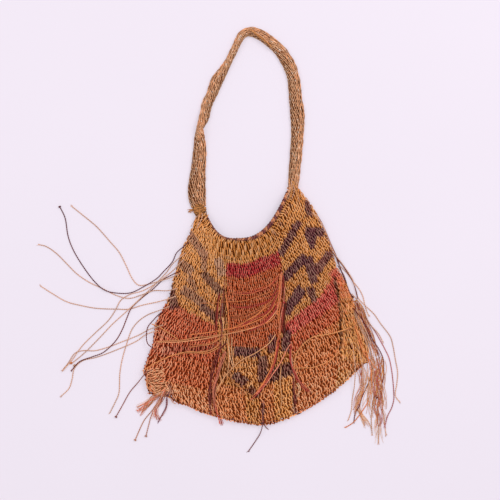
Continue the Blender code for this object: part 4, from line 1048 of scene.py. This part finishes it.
STRINGS = {  # name: dye, and route from the root to the end, in the order in which they were laid down
    "front_01": ("orange", ((30, -96), (27, -108), (16, -122), (1, -130), (-21, -136), (-40, -140), (-64, -145),
        (-84, -148), (-104, -150), (-125, -150))),
    "front_02": ("orange", ((26, -100), (18, -110), (8, -119), (-8, -126), (-26, -131), (-44, -134), (-65, -138),
        (-83, -140))),
    "front_03": ("plain", ((-101, -146), (-112, -139), (-124, -131), (-135, -127))),
    "front_04": ("plain", ((-44, -155), (-64, -164), (-84, -162), (-104, -166), (-122, -173), (-138, -182),
        (-146, -187))),
    "front_05": ("plain", ((25, -140), (16, -152), (-1, -164), (-17, -172), (-29, -182), (-40, -194), (-51, -212))),
    "front_06": ("red", ((33, -99), (34, -116), (32, -133), (27, -151), (23, -172), (16, -192), (5, -212),
        (-6, -224))),
    "front_07": ("dark", ((-44, -96), (-46, -116), (-44, -136), (-47, -161), (-52, -179), (-58, -200), (-61, -220),
        (-58, -243))),
    "front_08": ("orange", ((-42, -164), (-48, -182), (-53, -200), (-55, -218), (-52, -235), (-47, -255))),
    "front_09": ("plain", ((134, -118), (124, -129), (108, -136), (91, -140), (72, -144), (57, -157), (50, -172),
        (49, -195), (51, -216))),
    "front_10": ("plain", ((47, -183), (61, -183), (75, -182), (95, -174), (107, -162))),
    "left_04": ("plain", ((-104, -91), (-115, -95), (-130, -99), (-148, -103), (-165, -108), (-182, -108),
        (-207, -107), (-229, -103), (-247, -98), (-266, -87), (-280, -78))),
    "left_08": ("plain", ((-112, -104), (-124, -109), (-140, -115), (-153, -124), (-162, -136), (-169, -156),
        (-174, -174), (-177, -192), (-178, -216), (-183, -229), (-190, -243))),
    "left_09": ("plain", ((-120, -128), (-138, -134), (-153, -142), (-173, -150), (-191, -157), (-209, -162),
        (-225, -162), (-236, -166), (-244, -178), (-252, -188))),
    "left_10": ("plain", ((-127, -135), (-143, -141), (-156, -150), (-174, -158), (-194, -166), (-209, -171),
        (-225, -175), (-236, -185), (-239, -199), (-243, -211), (-253, -221))),
    "left_12": ("dark", ((-117, -109), (-125, -114), (-133, -122), (-140, -131), (-142, -143), (-140, -153),
        (-130, -160))),
    "left_11": ("red", ((-134, -186), (-143, -191), (-153, -203), (-164, -216), (-173, -232), (-182, -248))),
    "left_07": ("dark", ((-98, -58), (-112, -65), (-121, -70), (-134, -82), (-150, -95), (-162, -107), (-168, -120),
        (-174, -135), (-183, -150), (-198, -164), (-213, -170), (-229, -176), (-240, -188))),
    "left_05": ("plain", ((-93, -43), (-109, -59), (-129, -74), (-147, -84), (-164, -89), (-176, -97), (-183, -110),
        (-193, -124), (-209, -139), (-226, -156), (-239, -174), (-251, -188))),
    "left_06": ("plain", ((-91, -35), (-107, -48), (-117, -61), (-131, -76), (-148, -92), (-166, -109), (-186, -127),
        (-204, -146), (-223, -165), (-240, -179))),
    "left_03": ("plain", ((-102, -81), (-116, -84), (-133, -84), (-150, -90), (-165, -94), (-182, -90), (-200, -81),
        (-217, -73), (-233, -62), (-246, -49), (-259, -36), (-272, -27), (-283, -24))),
    "left_02": ("plain", ((-98, -61), (-108, -66), (-120, -70), (-138, -75), (-152, -77), (-161, -68), (-169, -51),
        (-178, -34), (-190, -20), (-207, -1), (-225, 14), (-240, 26))),
    "left_01": ("dark", ((-87, -21), (-94, -27), (-103, -35), (-109, -47), (-120, -59), (-130, -69), (-148, -80),
        (-164, -87), (-182, -87), (-197, -83), (-210, -72), (-223, -55), (-236, -34), (-244, -14), (-248, 10),
        (-255, 25))),
    "tassel_01": ("red", ((-117, -211), (-124, -216), (-131, -222), (-140, -229), (-148, -236), (-154, -240))),
    "tassel_02": ("orange", ((-116, -214), (-124, -224), (-130, -233), (-136, -241), (-145, -252), (-151, -264),
        (-157, -278))),
    "tassel_03": ("red", ((-114, -214), (-120, -225), (-127, -235), (-135, -244), (-139, -257), (-143, -273))),
    "tassel_04": ("dark", ((-112, -214), (-116, -225), (-117, -235), (-122, -245), (-127, -255))),
    "hem_01": ("red", ((8, -237), (9, -250), (8, -260), (5, -270), (-1, -280), (-10, -293))),
    "right_02": ("dark", ((95, -30), (104, -41), (110, -56), (115, -70), (120, -83), (125, -94))),
    "right_12": ("plain", ((122, -146), (125, -159), (127, -173), (128, -185), (128, -198), (127, -212), (125, -226),
        (124, -239), (120, -252))),
    "right_13": ("plain", ((130, -152), (134, -166), (137, -179), (138, -192), (138, -205), (135, -216), (133, -225),
        (134, -235), (139, -246), (146, -255), (150, -263))),
    "right_11": ("dark", ((146, -161), (150, -177), (151, -190), (148, -200), (143, -211), (138, -222), (134, -234),
        (129, -243), (127, -255))),
    "right_10": ("orange", ((122, -113), (129, -131), (136, -150), (144, -169), (149, -187), (150, -203), (149, -216),
        (145, -229), (139, -239), (131, -250), (124, -257), (116, -262))),
    "right_07": ("plain", ((125, -110), (134, -130), (142, -150), (148, -169), (153, -190), (154, -211), (153, -229),
        (150, -244), (150, -259), (151, -272))),
    "right_09": ("plain", ((127, -109), (136, -130), (146, -151), (152, -172), (157, -192), (159, -213), (159, -231),
        (158, -248), (159, -265), (159, -282))),
    "right_08": ("plain", ((129, -108), (139, -129), (148, -148), (156, -169), (161, -190), (163, -208), (164, -226),
        (165, -243), (167, -257), (169, -272))),
    "right_06": ("dark", ((125, -106), (131, -113), (139, -124), (146, -135), (151, -147), (159, -159), (165, -172),
        (166, -185), (166, -195), (164, -203))),
    "right_05": ("red", ((129, -98), (137, -108), (144, -122), (154, -136), (161, -148), (168, -161), (173, -172),
        (176, -186), (178, -202), (179, -216), (179, -226), (176, -237), (171, -247), (167, -261))),
    "right_04": ("plain", ((124, -88), (133, -98), (140, -108), (144, -120), (150, -130), (159, -140), (165, -151))),
    "right_03": ("plain", ((109, -52), (118, -61), (126, -72), (134, -82), (139, -92), (141, -101), (144, -111),
        (147, -117))),
    "right_01": ("plain", ((73, 17), (80, 10), (87, -1), (95, -20), (101, -35), (114, -52), (125, -69), (129, -82),
        (132, -92), (139, -101), (153, -114), (162, -127), (174, -143), (178, -156), (181, -173), (184, -190),
        (183, -205), (181, -220), (187, -229))),
}


def smooth_line(route, step):
    """Evenly spaced points, about step apart, on a smooth curve through a route's own points."""
    knots = np.array(route, float)
    return curve_through(np.vstack([2 * knots[0] - knots[1], knots, 2 * knots[-1] - knots[-2]]), 20, step, 8)


top_height = surface_of(front_layer, band)


def ground_height(x, y):
    """The height of what lies under a string: the table, or the loops that stand out of a layer."""
    height = top_height(x, y)
    return height + LOOP_RELIEF if height else 0.0


laid = np.zeros((0, 4))  # every point of the strings laid so far, and their radius


def lay(route, radius, step=STRING_STEP):
    """A string's centreline along its route, as low as the table, the pouch and earlier strings allow."""
    global laid
    line = smooth_line(route, step)
    way = unit(np.gradient(line, axis=0))
    side = np.stack([-way[:, 1], way[:, 0]], axis=1) * radius
    need = np.array([max(radius, *(ground_height(*(spot + aside * offset)) + radius for offset in (-1.0, 0.0, 1.0)))
                     for spot, aside in zip(line, side)])
    if len(laid):
        away = np.hypot(line[:, None, 0] - laid[None, :, 0], line[:, None, 1] - laid[None, :, 1])
        clear = radius + laid[None, :, 3] + STRING_GAP
        rise = np.where(away < clear, laid[None, :, 2] + np.sqrt(np.maximum(clear ** 2 - away ** 2, 0.0)), 0.0)
        need = np.maximum(need, rise.max(axis=1))
    height = np.maximum(need, np.maximum(np.append(need[1:], 0), np.append(0, need[:-1])))
    drop = STRING_SLOPE * step
    for way_along in (height, height[::-1]):
        for i in range(1, len(way_along)):
            way_along[i] = max(way_along[i], way_along[i - 1] - drop)
    for _ in range(10):
        padded = np.concatenate([height[:1], height, height[-1:]])
        height = np.maximum((padded[:-2] + 2 * height + padded[2:]) / 4, need)
    centres = np.column_stack([line, height])
    laid = np.vstack([laid, np.column_stack([centres, np.full(len(centres), radius)])])
    return centres


def end_knot(strands, spot, way, tone):
    """An overhand knot pulled tight: two turns round the string's end."""
    t = np.linspace(0.0, 4 * math.pi, 20)[:, None]
    turns = spot + np.cross(UP, way) * np.cos(t) * 1.2 + UP * (np.sin(t) * 1.0 + 0.9)
    turns = turns + way * (t / (4 * math.pi) - 0.5) * 1.5
    strands.add(turns, 0.65, tone, turns - spot)


def frayed_end(strands, spot, way, tone):
    """The bare fibres of a string's cut end, coming apart."""
    for _ in range(FIBRES):
        t = np.linspace(0.0, 1.0, 6)[:, None]
        apart = np.cross(UP, way) * random.uniform(-1.6, 1.6) * t ** 1.5 + UP * random.uniform(-0.5, 0.4) * t
        strands.add(spot - way * 3.0 + way * FRAY * random.uniform(0.5, 1.1) * t + apart, 0.46 - 0.24 * t[:, 0],
                    tone * random.uniform(0.9, 1.2))


hanging_finish = string_finish("hanging string", ply_pitch=1.4, ply_depth=0.15)
ends = Strands(sides=4)
for string_name, (string_dye, string_route) in STRINGS.items():
    centres = lay(string_route, STRING / 2)
    strands = Strands(sides=5)
    tone = OWN_TONES.get(string_name, STRING_DYES[string_dye])
    run = np.arange(len(centres)) * STRING_STEP
    fade = 1.0 + 0.12 * np.sin(run / 23.0 + random.uniform(0, 6)) + random.normal(0.0, 0.05, len(run))
    twisted(strands, centres, STRING * STRING_PLY, STRING_TWIST,
            (tone * 1.2 * fade[:, None], tone * 1.08 * fade[:, None]), random.uniform(0, 6))
    piece = strands.finish(string_name + "_string", hanging_finish)
    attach(piece, "root")
    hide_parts(string_name)
    way = (centres[-1] - centres[-3]) / np.linalg.norm(centres[-1] - centres[-3])
    if string_name in KNOTTED:
        end_knot(ends, centres[-1], way, tone * 0.9)
    else:
        frayed_end(ends, centres[-1], way, tone)
end_piece = ends.finish("string_ends", hanging_finish)
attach(end_piece, "root")

# ------------------------------------------------------------------ loose strands and frayed ends
# Shorter spare ends, fuzz and untwisted fibres of the same string: they run down the two seams of the
# front, fill out the bundle on the right, make the frayed tassel at the left corner, and carry the
# strap's strands over on to the pouch. Each row is a sheaf of strands round a line from start to end.
SHEAVES = (  # dyes, count, radius, spread at its start and at its end, lift, ragged, wander, line
    # the left seam, from the red band to the hem
    ("tan mauve", 2, 0.45, 0.6, 0.6, 0.6, 0.10, 0.3, ((-40, -66), (-42, -86), (-45, -109))),
    ("red shadow red", 8, 0.5, 1.2, 4.0, 0.3, 0.30, 0.5, ((-46, -82), (-50, -110), (-51, -140))),
    ("shadow", 4, 0.6, 1.2, 1.4, 0.1, 0.25, 0.3, ((-41, -80), (-41, -108), (-40, -137))),
    ("grey mauve", 3, 0.5, 0.8, 0.8, 0.9, 0.10, 0.4, ((-44, -98), (-44, -108), (-44, -118))),
    ("tan pale", 2, 0.45, 0.9, 0.9, 0.8, 0.06, 0.2, ((-42, -118), (-42, -128), (-42, -138))),
    ("orange", 3, 0.5, 0.8, 1.2, 0.6, 0.10, 0.4, ((-40, -86), (-36, -112), (-35, -138))),
    ("orange", 1, 0.5, 0.1, 0.1, 0.9, 0.02, 0.3, ((20, -84), (-9, -95), (-35, -98), (-74, -100))),
    ("tan orange", 3, 0.45, 0.8, 2.5, 0.6, 0.05, 0.5, ((-40, -141), (-62, -152), (-89, -154))),
    ("tan orange rose", 3, 0.45, 0.8, 2.0, 0.6, 0.08, 0.5, ((-40, -142), (-54, -157), (-76, -163), (-104, -163))),
    ("tan", 2, 0.45, 0.5, 1.5, 0.6, 0.05, 0.4, ((-40, -140), (-67, -143), (-91, -147), (-123, -150), (-133, -148))),
    ("ochre orange pale", 7, 0.5, 3.5, 5.0, 0.6, 0.30, 0.8, ((-34, -142), (-33, -163), (-31, -188))),
    ("shadow dark", 4, 0.6, 0.8, 1.2, 0.3, 0.15, 0.4, ((-38, -150), (-51, -166), (-58, -194), (-58, -243))),
    ("pink orange", 4, 0.55, 1.0, 2.0, 0.8, 0.10, 0.6, ((-39, -160), (-49, -190), (-54, -211), (-53, -243))),
    ("red shadow", 4, 0.5, 1.5, 2.5, 0.4, 0.25, 0.5, ((-40, -168), (-50, -196), (-54, -226), (-51, -246))),
    ("tan", 1, 0.55, 0.2, 0.2, 1.3, 0.02, 0.3, ((-40, -172), (-35, -186), (-31, -198), (-25, -205), (-14, -213),
        (-4, -219))),
    ("red pink", 7, 0.4, 1.0, 3.0, 0.1, 0.20, 0.4, ((-48, -246), (-46, -253), (-44, -261))),
    # the right seam, and the loose runs that curve out of it over the panel
    ("orange red", 5, 0.6, 2.0, 3.5, 0.4, 0.20, 0.6, ((34, -55), (31, -83), (30, -109), (31, -135), (29, -155))),
    ("red shadow", 5, 0.6, 2.5, 3.0, 0.2, 0.25, 0.6, ((36, -58), (34, -90), (34, -120), (35, -150))),
    ("shadow", 4, 0.6, 1.5, 1.5, 0.1, 0.25, 0.2, ((38, -98), (36, -118), (38, -142))),
    ("pink", 2, 0.6, 0.8, 1.0, 0.9, 0.05, 0.3, ((37, -78), (35, -99), (32, -114), (30, -138))),
    ("orange pink", 2, 0.6, 0.5, 1.0, 0.8, 0.05, 0.3, ((32, -58), (32, -84), (28, -104), (24, -118))),
    ("tan orange", 4, 0.42, 1.5, 2.0, 0.5, 0.08, 0.5, ((17, -101), (-2, -117), (-21, -128), (-36, -135))),
    ("orange", 2, 0.42, 0.6, 1.2, 0.5, 0.05, 0.4, ((30, -110), (16, -124), (-6, -131), (-36, -139))),
    ("orange red red", 4, 0.42, 1.5, 3.0, 0.4, 0.12, 0.5, ((31, -82), (18, -108), (1, -119), (-18, -129),
        (-34, -136))),
    ("red", 3, 0.36, 1.5, 3.0, 0.3, 0.15, 0.5, ((29, -74), (19, -94), (0, -102), (-18, -105), (-34, -103))),
    ("red shadow", 3, 0.5, 1.5, 3.0, 0.1, 0.20, 0.5, ((30, -92), (22, -112), (4, -128), (-14, -138))),
    ("red red orange", 5, 0.30, 2.0, 8.0, 0.2, 0.12, 0.5, ((31, -62), (17, -76), (-4, -84), (-20, -86), (-37, -83))),
    ("red shadow orange", 5, 0.30, 2.0, 7.0, 0.2, 0.12, 0.5, ((30, -84), (15, -101), (-6, -113), (-22, -117),
        (-36, -118))),
    ("red shadow orange", 12, 0.6, 3.2, 2.2, 0.6, 0.15, 0.4, ((30, -146), (25, -172), (18, -190), (8, -207),
        (-6, -224))),
    ("pink", 2, 0.55, 0.6, 1.2, 1.4, 0.05, 0.4, ((44, -152), (32, -174), (22, -191), (11, -205), (-1, -218))),
    ("pale ochre", 2, 0.45, 0.8, 1.5, 0.8, 0.10, 0.6, ((32, -176), (32, -200), (33, -222), (32, -242))),
    ("plain", 1, 0.5, 0.2, 0.2, 0.9, 0.05, 0.4, ((46, -170), (48, -190), (49, -212))),
    ("red pink", 5, 0.5, 1.0, 4.5, 0.5, 0.12, 0.6, ((45, -150), (46, -176), (56, -201), (72, -216))),
    ("dark", 4, 0.45, 0.6, 2.6, 0.6, 0.10, 0.3, ((48, -196), (50, -214), (51, -232))),
    ("pale ochre", 4, 0.45, 2.0, 2.0, 0.9, 0.10, 0.9, ((53, -202), (57, -211), (53, -221))),
    # the hem and the frayed tassel at its left corner
    ("ochre", 1, 0.6, 0.1, 0.1, 0.2, 0.02, 0.0, ((-112, -219), (-110, -226), (-107, -230), (-102, -231))),
    ("dark", 2, 0.45, 0.4, 1.6, 0.2, 0.10, 0.2, ((8, -250), (12, -261), (18, -266))),
    ("pink cream tan", 19, 0.42, 1.6, 8.5, 0.4, 0.10, 0.4, ((-121, -214), (-131, -222), (-143, -233), (-153, -240))),
    ("cream pink", 14, 0.33, 4.0, 10.0, 0.3, 0.20, 0.4, ((-140, -230), (-149, -237), (-156, -243))),
    ("pink cream rose", 17, 0.4, 1.5, 8.5, 0.5, 0.12, 0.4, ((-119, -213), (-124, -226), (-130, -240), (-128, -254))),
    ("pink rose", 4, 0.45, 1.5, 3.5, 0.8, 0.15, 0.4, ((-118, -212), (-123, -224), (-128, -238))),
    ("mauve", 3, 0.4, 0.5, 1.5, 0.6, 0.10, 0.3, ((-117, -215), (-115, -231), (-119, -243), (-127, -252))),
    # the gusset on the right, and the bundle that hangs from it
    ("shadow dark mauve", 4, 0.5, 0.8, 1.2, 0.4, 0.04, 0.2, ((80, 13), (87, 1), (93, -14), (99, -27), (104, -38),
        (108, -52))),
    ("dark shadow", 3, 0.45, 0.6, 0.9, 0.5, 0.04, 0.2, ((100, -35), (108, -46), (114, -54), (123, -67), (128, -78),
        (131, -90), (131, -98))),
    ("tan ochre mauve", 8, 0.48, 2.0, 3.5, 0.5, 0.12, 0.5, ((134, -100), (142, -122), (151, -146), (158, -170))),
    ("dark shadow", 3, 0.45, 0.5, 0.8, 0.4, 0.04, 0.2, ((106, -51), (113, -63), (118, -76))),
    ("dark mauve", 4, 0.5, 0.6, 2.4, 0.4, 0.10, 0.4, ((116, -72), (121, -84), (128, -97))),
    ("tan", 2, 0.5, 0.3, 0.6, 0.9, 0.02, 0.2, ((110, -136), (121, -133), (131, -125), (136, -113), (134, -101),
        (130, -96))),
    ("tan", 1, 0.5, 0.1, 0.1, 0.9, 0.02, 0.2, ((102, -165), (108, -161), (112, -152), (113, -141), (110, -132))),
    ("orange tan", 2, 0.55, 0.5, 1.0, 1.0, 0.04, 0.3, ((127, -128), (132, -146), (139, -164), (149, -176),
        (156, -187))),
    ("shadow", 5, 0.6, 0.8, 1.3, 0.9, 0.10, 0.2, ((128, -101), (130, -109), (131, -118))),
    ("tan shadow", 4, 0.5, 1.5, 4.0, 0.6, 0.15, 0.6, ((128, -92), (134, -112), (141, -136), (147, -162))),
    ("ochre", 2, 0.5, 3.0, 6.0, 0.5, 0.25, 0.8, ((122, -95), (124, -120), (130, -150), (134, -174))),
    ("mauve dark rose", 9, 0.42, 1.5, 2.5, 0.4, 0.15, 0.5, ((130, -100), (138, -122), (150, -150), (163, -176))),
    ("tan shadow plain ochre", 7, 0.5, 2.0, 4.5, 0.6, 0.12, 0.6, ((131, -104), (138, -130), (147, -157),
        (153, -188))),
    ("plain tan ochre", 7, 0.44, 3.0, 5.5, 0.3, 0.15, 1.6, ((150, -168), (149, -195), (146, -218), (141, -246))),
    ("plain tan mauve ochre", 11, 0.46, 5.0, 7.5, 0.4, 0.15, 1.8, ((155, -170), (154, -198), (153, -225),
        (156, -254))),
    ("ochre tan rose", 12, 0.46, 4.0, 8.0, 0.5, 0.15, 1.8, ((160, -174), (158, -205), (160, -235), (163, -264))),
    ("mauve ochre tan", 7, 0.44, 4.0, 5.0, 0.3, 0.15, 1.5, ((163, -168), (166, -190), (165, -212), (167, -240))),
    ("tan ochre tan rose", 8, 0.44, 3.0, 6.0, 0.3, 0.20, 1.5, ((134, -178), (137, -205), (131, -228), (125, -250))),
    ("plain ochre tan", 7, 0.44, 3.0, 5.0, 0.3, 0.20, 1.5, ((139, -180), (142, -205), (134, -225), (129, -252))),
    ("pale plain", 9, 0.32, 3.0, 9.0, 0.2, 0.30, 1.2, ((158, -240), (160, -262), (160, -284))),
    ("tan pale", 12, 0.38, 1.0, 6.0, 0.2, 0.25, 0.8, ((132, -236), (139, -250), (146, -263))),
    ("tan mauve", 4, 0.44, 2.0, 5.0, 0.4, 0.20, 1.5, ((155, -188), (162, -213), (158, -240))),
    # where the strap's strands run on to the pouch, and at its top
    ("plain ochre ochre", 7, 0.55, 3.5, 6.0, 0.8, 0.12, 0.5, ((45, 62), (45, 48), (40, 32))),
    ("plain ochre", 5, 0.55, 2.5, 5.0, 0.8, 0.12, 0.5, ((47, 60), (53, 44), (58, 30))),
    ("plain ochre ochre", 7, 0.55, 3.0, 6.0, 0.8, 0.12, 0.5, ((-72, 24), (-74, 12), (-80, -4))),
    ("plain ochre", 5, 0.5, 2.0, 2.5, 0.8, 0.12, 0.4, ((-8, 254), (8, 244), (22, 230))),
)
LUMPS = (  # x, y, dye: small knots tied in the loose strands
    (157, -223, "dark"), (155, -221, "mauve"), (51, -228, "dark"), (-240, -178, "orange"), (-236, -181, "plain"),
    (36, -99, "red"), (130, -97, "ochre"), (126, -92, "dark"),
)
SHEAF_STEP = 1.7
PLY_BEAT, PLY_BULGE, PLY_LIGHT = 3.1, 0.14, 0.20  # where a loose strand's plies cross: pitch, bulge and light
THINNING = 0.35  # how much thinner a loose strand is at its end
SCATTER, KNOT_SCATTER = 0.7, 0.22  # of whole strands over a sheaf's spread, and of each strand's own points

cover_height = surface_of(front_layer, band, gusset_layer, corner_layer)


def sheaf(strands, dyes, count, radius, spread_start, spread_end, lift, ragged, wander, line):
    """Strands that wander along a line, their distance from it growing from one spread to the other."""
    for _ in range(count):
        knots = np.array(line, float)
        share = np.arange(len(knots)) / (len(knots) - 1)
        spread = spread_start + (spread_end - spread_start) * share
        aside = random.uniform(-1.0, 1.0) * SCATTER
        run = knots[-1] - knots[0]
        side = np.array((-run[1], run[0])) / np.linalg.norm(run)
        knots += side * (spread * (aside + random.normal(0.0, KNOT_SCATTER, len(knots))))[:, None]
        path = smooth_line(knots, SHEAF_STEP)
        first, last = random.uniform(0.0, ragged), random.uniform(1.0 - ragged, 1.0)
        path = path[int(first * len(path)):max(int(last * len(path)), int(first * len(path)) + 5)]
        run = np.arange(len(path)) * SHEAF_STEP
        swing = np.sin(run / random.uniform(3.5, 8.0) + random.uniform(0.0, 6.0)) * wander
        path = path + side * swing[:, None]
        heights = np.array([cover_height(x, y) for x, y in path])
        heights = heights + LOOP_RELIEF * (heights > 0.0)
        for _ in range(4):
            heights = np.maximum(heights, (np.append(heights[1:], heights[-1]) + heights
                                           + np.append(heights[:1], heights[:-1])) / 3)
        rise = random.uniform(0.3, 1.0) * lift * 2 + random.uniform(0.0, 1.0)
        beat = np.sin(2 * math.pi * run / PLY_BEAT + random.uniform(0.0, 6.0))
        centres = np.column_stack([path, heights + radius + rise])
        thin = radius * (1.0 - THINNING * np.linspace(0.0, 1.0, len(path)) ** 3) * (1.0 + PLY_BULGE * beat)
        tone = STRING_DYES[random.choice(dyes.split())] * random.uniform(0.75, 1.15)
        tone = tone * (1.0 + PLY_LIGHT * beat[:, None]) * random.uniform(0.92, 1.08, (len(path), 1))
        strands.add(centres, thin, tone)


loose = Strands(sides=4)
for values in SHEAVES:
    sheaf(loose, *values)
for x, y, lump_dye in LUMPS:
    end_knot(loose, np.array((x, y, ground_height(x, y) + 1.5)), np.array((0.6, -0.8, 0.0)),
             STRING_DYES[lump_dye] * 0.8)
loose_piece = loose.finish("loose_strands", hanging_finish)
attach(loose_piece, "root")
